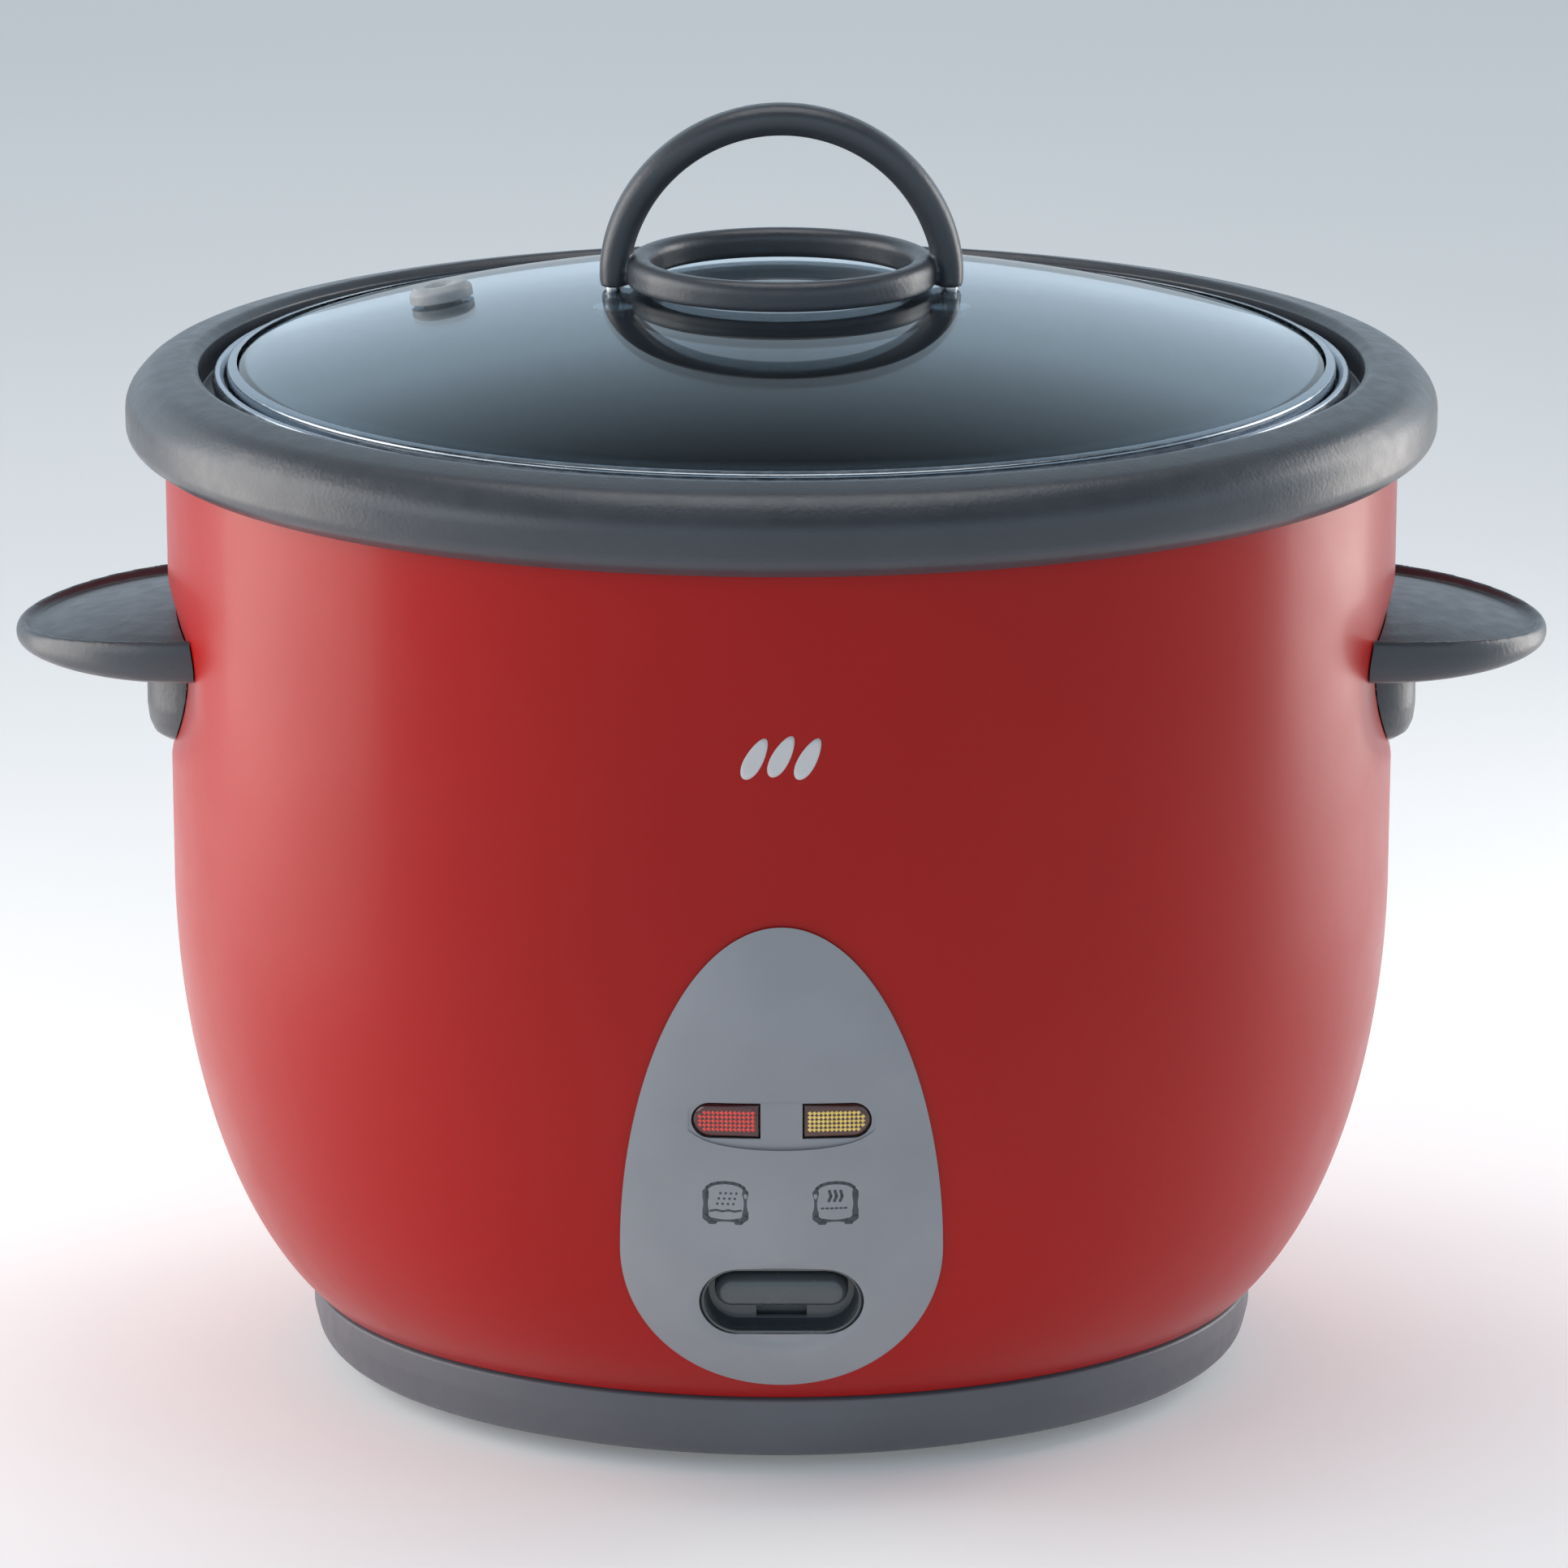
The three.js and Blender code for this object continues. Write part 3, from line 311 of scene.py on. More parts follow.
class FinishShop:
    """Makes each finish once and hands it out by its material slot."""

    SLOTS: dict[str, Any] = {
        "red_enamel": Lacquer("red_lacquer", linear(168, 10, 5)),
        "dark_plastic": MouldedPlastic("charcoal_plastic", linear(66, 69, 75), 0.34, 1100, depth=0.00005),
        "base_plastic": MouldedPlastic("base_plastic", linear(90, 92, 98), 0.46),
        "panel_plastic": MouldedPlastic("panel_plastic", linear(146, 147, 152), 0.42, depth=0.00001),
        "gloss_dark_plastic": MouldedPlastic(
            "grey_gloss_plastic", linear(72, 77, 81), 0.24, depth=0.000004, coat=0.6
        ),
        "red_lens": Moulding("red_lens_clear", linear(84, 16, 18), 0.08, 0.2, coat=1.0),
        "amber_lens": Moulding("amber_lens_clear", linear(84, 40, 28), 0.08, 0.2, coat=1.0),
        "red_dots": Moulding("red_lens_facets", linear(226, 52, 40), 0.15, 0.0, coat=0.8, glow=0.12),
        "amber_dots": Moulding("amber_lens_facets", linear(236, 204, 104), 0.15, 0.0, coat=0.8, glow=0.1),
        "plate_steel": Metal("zinc_plated_sheet", linear(190, 192, 194), 0.36, (60, 60, 900)),
        "bright_steel": Metal("bright_steel", linear(206, 207, 208), 0.24, (700, 700, 700)),
        "band_steel": Metal("polished_band", linear(158, 166, 174), 0.22, (300, 300, 2500), depth=0.000003),
        "cast_aluminium": Metal("turned_aluminium", linear(196, 198, 200), 0.32, turned=True),
        "pot_metal": Metal("drawn_aluminium", linear(186, 194, 203), 0.3, (220, 220, 1400)),
        "non_stick": MouldedPlastic("non_stick_coat", linear(44, 46, 50), 0.38, grain=2200, depth=0.00002),
        "lid_glass": ClearGlass("tempered_glass", linear(204, 217, 226)),
        "silicone": Moulding("milky_silicone", linear(196, 200, 203), 0.4, 0.35),
        "foot_rubber": MouldedPlastic("black_rubber", linear(26, 26, 27), 0.75, grain=900, depth=0.00006),
        "brass": Metal("plain_brass", linear(196, 160, 92), 0.3, (500, 500, 500)),
        "ferrite": MouldedPlastic("sintered_ferrite", linear(46, 46, 48), 0.6, grain=1200, depth=0.00005),
        "insulation": MouldedPlastic("heat_proof_moulding", linear(214, 210, 198), 0.6),
        "wire_sleeve": Sleeve("woven_sleeve", linear(150, 143, 132)),
        "print_ink": MouldedPlastic("print_ink", linear(66, 70, 77), 0.5),
        "silver_print": MouldedPlastic("silver_print", linear(206, 203, 203), 0.34),
    }

    def __init__(self) -> None:
        """Starts with nothing made."""
        self.made: dict[str, bpy.types.Material] = {}

    def get(self, slot: str) -> bpy.types.Material:
        """The material of a slot, made on first use."""
        if slot not in self.made:
            self.made[slot] = self.SLOTS[slot].make()
        return self.made[slot]


FINISHES = FinishShop()


# ---- mesh helpers -------------------------------------------------------------------------------
def turns(count: int) -> list[float]:
    """Angles spaced evenly round a full turn."""
    return [2 * math.pi * k / count for k in range(count)]


def mesh_object(name: str, points: Sequence[Sequence[float]], faces: Sequence[Sequence[int]]) -> Piece:
    """Makes a smooth-shaded object from points in metres and faces.

    Args:
        name: the piece's name.
        points: the places of the vertices.
        faces: vertex numbers, anticlockwise from outside.

    Returns:
        The new object, at the origin.
    """
    mesh = bpy.data.meshes.new(name)
    mesh.from_pydata([tuple(p) for p in points], [], [tuple(f) for f in faces])
    mesh.update()
    mesh.shade_smooth()
    made = bpy.data.objects.new(name, mesh)
    bpy.context.scene.collection.objects.link(made)
    return made


def rounded(corners: Sequence[Corner], closed: bool = True, step: float = 11.0) -> list[Flat]:
    """Rounds the corners of an outline.

    Args:
        corners: (radius, height, fillet radius) of each corner, in millimetres.
        closed: False if the outline starts and ends on the axis.
        step: the largest turn of one facet of a fillet, in degrees.

    Returns:
        The outline's points, in metres.
    """
    count = len(corners)
    outline: list[Flat] = []
    for i, (r, z, fillet) in enumerate(corners):
        if fillet <= 0 or (not closed and i in (0, count - 1)):
            outline.append((r * MM, z * MM))
            continue
        here = Vector((r, z))
        back = Vector(corners[i - 1][:2]) - here
        ahead = Vector(corners[(i + 1) % count][:2]) - here
        reach = 0.46 * min(back.length, ahead.length)
        half = back.angle(ahead) / 2
        tangent = min(fillet / math.tan(half), reach)
        radius = tangent * math.tan(half)
        back.normalize()
        ahead.normalize()
        centre = here + (back + ahead).normalized() * radius / math.sin(half)
        start = here + back * tangent - centre
        turn = math.pi - 2 * half
        steps = max(2, math.ceil(math.degrees(turn) / step))
        sign = 1 if back.x * ahead.y - back.y * ahead.x < 0 else -1
        for k in range(steps + 1):
            spun = Matrix.Rotation(sign * turn * k / steps, 2) @ start + centre
            outline.append((spun.x * MM, spun.y * MM))
    return outline


def revolve(name: str, outline: Sequence[Flat], facets: int = FINE) -> Piece:
    """Turns an outline of (radius, height) points about the Z axis.

    Args:
        name: the piece's name.
        outline: a closed loop, or one that starts and ends on the axis.
        facets: the number of facets round the axis.

    Returns:
        A closed object whose faces point outwards.
    """
    area = sum(a[0] * b[1] - b[0] * a[1] for a, b in zip(outline, [*outline[1:], outline[0]]))
    line = list(outline) if area > 0 else list(reversed(outline))
    on_axis = line[0][0] == 0
    rows: list[list[int]] = []
    points: list[tuple[float, float, float]] = []
    for r, z in line:
        if r == 0:
            rows.append([len(points)] * facets)
            points.append((0.0, 0.0, z))
            continue
        rows.append(list(range(len(points), len(points) + facets)))
        points.extend((r * math.cos(angle), r * math.sin(angle), z) for angle in turns(facets))
    pairs = list(zip(rows, rows[1:])) if on_axis else list(zip(rows, [*rows[1:], rows[0]]))
    faces = []
    for low, high in pairs:
        for k in range(facets):
            ring = [low[k], low[(k + 1) % facets], high[(k + 1) % facets], high[k]]
            face = list(dict.fromkeys(ring))
            if len(face) > 2:
                faces.append(face)
    return mesh_object(name, points, faces)


def loft(name: str, loops: Sequence[Sequence[Sequence[float]]]) -> Piece:
    """Skins a stack of loops with equal counts and closes both ends with a flat cap.

    Args:
        name: the piece's name.
        loops: loops of points, each anticlockwise when seen from the last loop's side.

    Returns:
        A closed object.
    """
    count = len(loops[0])
    points = [p for ring in loops for p in ring]
    faces: list[list[int]] = [list(reversed(range(count)))]
    for level in range(len(loops) - 1):
        for k in range(count):
            after = (k + 1) % count
            low, high = level * count, (level + 1) * count
            faces.append([low + k, low + after, high + after, high + k])
    top = (len(loops) - 1) * count
    faces.append([top + k for k in range(count)])
    return mesh_object(name, points, faces)


def bake(piece: Piece) -> Piece:
    """Applies a piece's modifiers, leaving a plain mesh."""
    graph = bpy.context.evaluated_depsgraph_get()
    source = piece.evaluated_get(graph)
    mesh = bpy.data.meshes.new_from_object(source, preserve_all_data_layers=True, depsgraph=graph)
    piece.modifiers.clear()
    piece.data = mesh
    return piece


def discard(*pieces: Piece) -> None:
    """Removes helper objects."""
    for piece in pieces:
        bpy.data.objects.remove(piece)


def combine(piece: Piece, others: Sequence[Piece], operation: str) -> None:
    """Cuts or joins pieces for good.

    Args:
        piece: the object that changes.
        others: the cutters or additions, which are used up.
        operation: DIFFERENCE or UNION.
    """
    for other in others:
        modifier = piece.modifiers.new("combine", "BOOLEAN")
        modifier.operation = operation
        modifier.solver = "EXACT"
        modifier.object = other
    bake(piece)
    discard(*others)


def fuse_softly(piece: Piece, passes: int) -> None:
    """Melts joined solids into one skin and smooths it by a number of passes."""
    fuse = piece.modifiers.new("fuse", "REMESH")
    fuse.mode = "VOXEL"
    fuse.voxel_size = 0.45 * MM
    soften = piece.modifiers.new("soften", "SMOOTH")
    soften.factor = 0.5
    soften.iterations = passes
    bake(piece)


def block(low: Sequence[float], high: Sequence[float]) -> Piece:
    """A plain box between two corners, in metres, for cutting."""
    x, y, z = zip(low, high)
    loops = [[(x[0], y[0], h), (x[1], y[0], h), (x[1], y[1], h), (x[0], y[1], h)] for h in z]
    return loft("block", loops)


def smooth_by_angle(piece: Piece, degrees: float = 35) -> Piece:
    """Shades a mesh smooth except across edges sharper than an angle."""
    piece.data.shade_smooth()
    piece.data.set_sharp_from_angle(angle=math.radians(degrees))
    return piece


def finish_piece(piece: Piece, body: Body, slot: str, replaced: Sequence[str] = (), look: str = "") -> None:
    """Gives a piece its material, chosen by its slot, and its body.

    Args:
        piece: the finished object.
        body: the body that it moves with.
        slot: the record's material slot.
        replaced: the frame nodes that it stands for.
        look: the finish, where it differs from the slot's own.
    """
    if look or not piece.data.materials:
        piece.data.materials.clear()
        piece.data.materials.append(FINISHES.get(look or slot))
    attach(piece, body.value)
    if replaced:
        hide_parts(*replaced)
    LOG.info("%s: %d faces, rides on %s", piece.name, len(piece.data.polygons), body.value)


# ---- geometry node trees ------------------------------------------------------------------------
class NodeTree:
    """A Geometry Nodes tree with named inputs that ends in Realize Instances and Set Material."""

    def __init__(self, name: str, inputs: dict[str, float]) -> None:
        """Starts the tree, with named sizes and their default values."""
        self.tree = bpy.data.node_groups.new(name, "GeometryNodeTree")
        face = self.tree.interface
        face.new_socket("Geometry", in_out="INPUT", socket_type="NodeSocketGeometry")
        for label, value in inputs.items():
            face.new_socket(label, in_out="INPUT", socket_type="NodeSocketFloat").default_value = value
        face.new_socket("Material", in_out="INPUT", socket_type="NodeSocketMaterial")
        face.new_socket("Geometry", in_out="OUTPUT", socket_type="NodeSocketGeometry")
        self.source = self.tree.nodes.new("NodeGroupInput")
        self.sink = self.tree.nodes.new("NodeGroupOutput")

    def node(self, kind: str, links: dict[Any, Any], **settings: Any) -> Any:
        """Adds a node.

        Args:
            kind: the node's type.
            links: its input sockets, each with a value, an input's name or another node's output.
            settings: the node's own properties.

        Returns:
            The node.
        """
        made = self.tree.nodes.new(kind)
        for name, value in settings.items():
            setattr(made, name, value)
        for socket, value in links.items():
            many = value if isinstance(value, list) else [value]
            for each in many:
                if isinstance(each, str):
                    each = self.source.outputs[each]
                if isinstance(each, bpy.types.NodeSocket):
                    self.tree.links.new(each, made.inputs[socket])
                else:
                    made.inputs[socket].default_value = each
        return made

    def times(self, size: Any, factor: float) -> Any:
        """A size multiplied by a factor."""
        return self.node("ShaderNodeMath", {0: size, 1: factor}, operation="MULTIPLY").outputs[0]

    def raised(self, shape: Any, height: Any) -> Any:
        """A shape moved along Z."""
        lift = self.node("ShaderNodeCombineXYZ", {"Z": height})
        moved = self.node("GeometryNodeTransform", {"Geometry": shape, "Translation": lift.outputs[0]})
        return moved.outputs[0]

    def close(self, geometry: Any) -> bpy.types.NodeTree:
        """Realizes the instances, sets the material and returns the tree."""
        real = self.node("GeometryNodeRealizeInstances", {"Geometry": geometry})
        smooth = self.node("GeometryNodeSetShadeSmooth", {"Geometry": real.outputs[0], "Shade Smooth": False})
        dressed = self.node("GeometryNodeSetMaterial", {"Geometry": smooth.outputs[0], "Material": "Material"})
        self.tree.links.new(dressed.outputs[0], self.sink.inputs["Geometry"])
        return self.tree

    def aimed(self, shape: Any) -> Any:
        """Puts a shape on each input point, its Z axis along the point's own axis attribute."""
        axis = self.node("GeometryNodeInputNamedAttribute", {}, data_type="FLOAT_VECTOR")
        axis.inputs["Name"].default_value = "axis"
        turn = self.node("FunctionNodeAlignRotationToVector", {"Vector": axis.outputs["Attribute"]}, axis="Z")
        placed = self.node(
            "GeometryNodeInstanceOnPoints",
            {"Points": "Geometry", "Instance": shape, "Rotation": turn.outputs["Rotation"]},
        )
        return placed.outputs["Instances"]


def screw_tree() -> bpy.types.NodeTree:
    """Pan-head screws with a cross recess, one on each point."""
    sizes = {
        "Head Radius": 0.003, "Head Height": 0.0018, "Shank Radius": 0.0015, "Shank Length": 0.01,
        "Slot": 0.0008,
    }
    tree = NodeTree("pan_head_screws", sizes)
    top = tree.times("Head Radius", 0.72)
    arm = tree.times("Head Radius", 1.15)
    head = tree.node(
        "GeometryNodeMeshCone",
        {"Vertices": 32, "Radius Top": top, "Radius Bottom": "Head Radius", "Depth": "Head Height"},
    )
    bars = []
    for pair in ((arm, "Slot"), ("Slot", arm)):
        size = tree.node("ShaderNodeCombineXYZ", {"X": pair[0], "Y": pair[1], "Z": "Head Height"})
        bar = tree.node("GeometryNodeMeshCube", {"Size": size.outputs[0]})
        bars.append(tree.raised(bar.outputs[0], "Head Height"))
    sources = {"Mesh 1": head.outputs[0], "Mesh 2": bars}
    cut = tree.node("GeometryNodeMeshBoolean", sources, operation="DIFFERENCE")
    shank = tree.node(
        "GeometryNodeMeshCylinder", {"Vertices": 20, "Radius": "Shank Radius", "Depth": "Shank Length"}
    )
    parts = [cut.outputs[0], tree.raised(shank.outputs[0], tree.times("Shank Length", -0.49))]
    whole = tree.node("GeometryNodeMeshBoolean", {"Mesh 2": parts}, operation="UNION")
    return tree.close(tree.aimed(whole.outputs[0]))


def facet_tree() -> bpy.types.NodeTree:
    """Small four-sided pyramids, one on each point, as moulded in a lamp lens."""
    tree = NodeTree("lens_facets", {"Width": 0.0006, "Height": 0.0002})
    pyramid = tree.node(
        "GeometryNodeMeshCone",
        {"Vertices": 4, "Radius Top": 0.00008, "Radius Bottom": "Width", "Depth": "Height"},
    )
    return tree.close(tree.aimed(pyramid.outputs[0]))


def coil_tree() -> bpy.types.NodeTree:
    """A compression spring of round wire standing on its lowest point."""
    sizes = {"Turns": 4.0, "Radius": 0.004, "Height": 0.008, "Wire": 0.0005, "Base": 0.0}
    tree = NodeTree("coil_spring", sizes)
    radii = {"Start Radius": "Radius", "End Radius": "Radius"}
    spiral = tree.node(
        "GeometryNodeCurveSpiral", {"Resolution": 28, "Rotations": "Turns", "Height": "Height", **radii}
    )
    section = tree.node("GeometryNodeCurvePrimitiveCircle", {"Resolution": 10, "Radius": "Wire"})
    wire = tree.node(
        "GeometryNodeCurveToMesh",
        {"Curve": spiral.outputs[0], "Profile Curve": section.outputs[0], "Fill Caps": True},
    )
    return tree.close(tree.raised(wire.outputs[0], "Base"))


def grow(
    name: str, tree: bpy.types.NodeTree, values: dict[str, Any], points: Sequence[tuple[Vector, Vector]] = ()
) -> Piece:
    """Runs a tree on points and keeps the result as a plain mesh.

    Args:
        name: the piece's name.
        tree: the Geometry Nodes tree.
        values: its inputs by name.
        points: places and axes of what is repeated.

    Returns:
        The finished object.
    """
    piece = mesh_object(name, [place for place, _ in points] or [(0, 0, 0)], [])
    if points:
        axis = piece.data.attributes.new("axis", "FLOAT_VECTOR", "POINT")
        axis.data.foreach_set("vector", [number for _, way in points for number in way])
    modifier = piece.modifiers.new("grow", "NODES")
    modifier.node_group = tree
    for item in tree.interface.items_tree:
        if item.in_out == "INPUT" and item.name in values:
            modifier[item.identifier] = values[item.name]
    return bake(piece)


# ---- the body's form ----------------------------------------------------------------------------
@dataclass(frozen=True)
class BodyForm:
    """The outer surface of the red body: nearly straight above, an elliptical tuck-in below."""

    top_r: float = 125.2 * MM
    waist_r: float = 124.1 * MM
    waist_z: float = 105 * MM
    tuck_in: float = 44.2 * MM
    tuck_down: float = 95 * MM
    low_z: float = 16.8 * MM
    high_z: float = 197.5 * MM
    scoop_z: float = 146 * MM
    scoop_tall: float = 19 * MM
    scoop_wide: float = 46.5 * MM
    scoop_deep: float = 3.9 * MM
    scoop_power: float = 1.25

    def radius(self, z: float) -> float:
        """Radius of the body at a height."""
        if z >= self.waist_z:
            flare = self.top_r - self.waist_r
            return self.waist_r + flare * (z - self.waist_z) / (self.high_z - self.waist_z)
        down = min((self.waist_z - z) / self.tuck_down, 1)
        return self.waist_r - self.tuck_in * (1 - math.sqrt(1 - down * down))

    def scoop(self, y: float, z: float) -> float:
        """Depth of the finger scoop at a point of the side."""
        share = 1 - (y / self.scoop_wide) ** 2 - ((z - self.scoop_z) / self.scoop_tall) ** 2
        return self.scoop_deep * share**self.scoop_power if share > 0 else 0.0

    def front(self, x: float, z: float, proud: float = 0.0) -> tuple[float, float, float]:
        """A point on the front of the body, or a little proud of it."""
        r = self.radius(z) + proud
        return (x, -math.sqrt(max(r * r - x * x, 0)), z)

    def wall(self, inset: float) -> list[Flat]:
        """The wall line from the bottom up, moved in by an inset along its normal."""
        line: list[Flat] = []
        steps = 44
        lowest = math.asin((self.waist_z - self.low_z) / self.tuck_down)
        for k in range(steps):
            angle = lowest * (1 - k / steps)
            lean = math.atan2(self.tuck_in * math.sin(angle), self.tuck_down * math.cos(angle))
            r = self.waist_r - self.tuck_in * (1 - math.cos(angle)) - inset * math.cos(lean)
            z = self.waist_z - self.tuck_down * math.sin(angle) + (inset * math.sin(lean) if k else 0)
            line.append((r, z))
        rows = 72
        for k in range(rows + 1):
            z = self.waist_z + (self.high_z - self.waist_z) * k / rows
            line.append((self.radius(z) - inset, z))
        return line

    def press(self, piece: Piece) -> Piece:
        """Presses the finger scoops into both sides of a turned piece."""
        for vertex in piece.data.vertices:
            x, y, z = vertex.co
            r = math.hypot(x, y)
            if r > 1 * MM:
                share = (r - self.scoop(y, z)) / r
                vertex.co = (x * share, y * share, z)
        piece.data.update()
        return piece

    def plug(self, clearance: float) -> Piece:
        """A solid of the body's outer form, for trimming what hugs it."""
        line = [(0.0, self.low_z), *self.wall(-clearance), (0.0, self.high_z)]
        return self.press(revolve("plug", line, FINE * 2))

    def patch(
        self,
        name: str,
        outline: Sequence[Flat],
        front: Callable[[float, float, float], float],
        back: float | Callable[[float, float, float], float],
        rings: int = 6,
        centre: Flat | None = None,
    ) -> Piece:
        """A closed slab that follows the front of the body.

        Args:
            name: the piece's name.
            outline: (x, z) points, star-shaped about the centre, anticlockwise.
            front: how proud the face stands at (x, z, share of the way to the rim).
            back: how proud the back stands, as one value or in the same way.
            rings: rings of faces between centre and rim.
            centre: the middle of the fan; the outline's mean if left out.

        Returns:
            The slab.
        """
        count = len(outline)
        mid = centre or (sum(p[0] for p in outline) / count, sum(p[1] for p in outline) / count)
        behind = back if callable(back) else lambda x, z, share: back
        points = [self.front(*mid, front(*mid, 0.0)), self.front(*mid, behind(*mid, 0.0))]
        for side in (0, 1):
            for ring in range(1, rings + 1):
                share = ring / rings
                for x, z in outline:
                    px, pz = mid[0] + (x - mid[0]) * share, mid[1] + (z - mid[1]) * share
                    points.append(self.front(px, pz, (behind if side else front)(px, pz, share)))
        faces: list[list[int]] = []

        def at(side: int, ring: int, k: int) -> int:
            """Number of a vertex on a ring, counted from 1."""
            return 2 + (side * rings + ring - 1) * count + k % count

        for k in range(count):
            faces.append([0, at(0, 1, k), at(0, 1, k + 1)])
            faces.append([1, at(1, 1, k + 1), at(1, 1, k)])
            for ring in range(1, rings):
                quad = [(ring, k), (ring + 1, k), (ring + 1, k + 1), (ring, k + 1)]
                faces.append([at(0, *corner) for corner in quad])
                faces.append([at(1, *corner) for corner in reversed(quad)])
            faces.append([at(0, rings, k), at(1, rings, k), at(1, rings, k + 1), at(0, rings, k + 1)])
        return mesh_object(name, points, faces)


FORM = BodyForm()


def stadium(wide: float, tall: float, z: float, count: int = 96) -> list[Flat]:
    """A slot outline with round ends, anticlockwise, spaced evenly round each end."""
    radius = tall / 2
    half = wide / 2 - radius
    quarter = count // 4
    outline: list[Flat] = []
    for side, start in ((1, -90), (-1, 90)):
        for k in range(2 * quarter):
            angle = math.radians(start + 180 * k / (2 * quarter - 1))
            outline.append((side * half + radius * math.cos(angle), z + radius * math.sin(angle)))
    return outline


# ---- sub-assemblies -----------------------------------------------------------------------------
@dataclass
class OuterBody:
    """The red sheet-metal body with its window for the panel and its opening for the inlet."""

    sheet: float = 1.0 * MM
    window_half: float = 21 * MM
    window_low: float = 30.5 * MM
    window_high: float = 92.5 * MM
    opening_gap: float = 0.3 * MM
    mark_z: float = 154 * MM
    grain_long: float = 4.6 * MM
    grain_wide: float = 1.75 * MM
    grain_pitch: float = 5.2 * MM

    def build(self) -> None:
        """Builds the shell, cuts its openings and adds the printed mark."""
        line = [*FORM.wall(0.0), *reversed(FORM.wall(self.sheet))]
        shell = FORM.press(revolve("body_shell", line, FINE + 48))
        low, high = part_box("power_inlet")
        gap, near, far = self.opening_gap, 60 * MM, 140 * MM
        inlet = block((low.x - gap, near, low.z - gap), (high.x + gap, far, high.z + gap))
        window = block((-self.window_half, -far, self.window_low), (self.window_half, -near, self.window_high))
        combine(shell, [inlet, window], "DIFFERENCE")
        smooth_by_angle(shell, 40)
        finish_piece(shell, Body.HOUSING, "red_enamel", ["outer_body"])
        self._mark()

    def _mark(self) -> None:
        """Prints three slanted rice grains, a plain sign for what is cooked."""
        slant = math.radians(62)
        grains = []
        for index in (-1, 0, 1):
            outline = []
            for angle in turns(40):
                along = self.grain_long * math.cos(angle)
                across = self.grain_wide * math.sin(angle) * (1 - 0.18 * math.cos(angle))
                x = index * self.grain_pitch + along * math.cos(slant) - across * math.sin(slant)
                middle_z = self.mark_z + 0.5 * MM * (1 - abs(index))
                z = middle_z + along * math.sin(slant) + across * math.cos(slant)
                outline.append((x, z))
            grains.append(FORM.patch("grain", outline, lambda x, z, share: 0.06 * MM, 0.01 * MM, 4))
        mark = merge("printed_grain_mark", grains)
        finish_piece(mark, Body.HOUSING, "red_enamel", look="silver_print")


def merge(name: str, parts: Sequence[Piece]) -> Piece:
    """Joins separate closed meshes into one object."""
    points: list[Sequence[float]] = []
    faces: list[list[int]] = []
    for part in parts:
        start = len(points)
        points.extend(tuple(v.co) for v in part.data.vertices)
        faces.extend([start + i for i in p.vertices] for p in part.data.polygons)
    discard(*parts)
    return mesh_object(name, points, faces)


@dataclass
class Rims:
    """The thick plastic rim on top of the body and the base ring under it."""

    def build(self) -> None:
        """Builds both rings."""
        rim = [
            (125.8, 190.9, 0.4), (128.8, 191.0, 2.6), (133.0, 193.8, 4.0), (133.1, 201.4, 6.5),
            (128.6, 206.6, 8.0), (119.9, 208.3, 2.2), (118.2, 206.9, 0.8), (118.2, 201.0, 0.6),
            (110.6, 201.0, 0.4), (110.6, 186.2, 0.4), (112.3, 186.2, 0.4), (112.3, 198.4, 0.2),
            (125.8, 198.4, 0.2),
        ]
        finish_piece(revolve("rim", rounded(rim)), Body.HOUSING, "dark_plastic", ["rim_ring"])
        base = [
            (72.1, 1.2, 0.5), (84.5, 1.2, 9.0), (94.6, 4.6, 9.0), (96.3, 11.5, 4.0), (96.3, 15.9, 0.7),
            (95.2, 16.45, 0.4), (89.1, 16.45, 0.4), (89.1, 14.1, 0.3), (93.1, 14.0, 0.6), (93.1, 10.5, 2.5),
            (88.5, 5.5, 3.0), (83.0, 3.9, 1.0), (72.1, 3.9, 0.5),
        ]
        finish_piece(revolve("base", rounded(base)), Body.HOUSING, "base_plastic", ["base_ring"])
        self._feet()

    def _feet(self) -> None:
        """Four round rubber feet with a shallow cup in each sole."""
        corners = [
            (0, 0.35, 0), (2.6, 0.35, 0.2), (3.0, 0.0, 0.2), (4.3, 0.0, 0.3), (5.0, 0.6, 0.3), (5.0, 1.0, 0.1),
            (0, 1.0, 0),
        ]
        profile = rounded(corners, closed=False)
        for number in range(1, 5):
            low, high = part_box(f"foot_{number}")
            foot = revolve(f"rubber_foot_{number}", profile, 48)
            foot.data.transform(Matrix.Translation(((low.x + high.x) / 2, (low.y + high.y) / 2, 0)))
            finish_piece(foot, Body.HOUSING, "foot_rubber", [f"foot_{number}"])


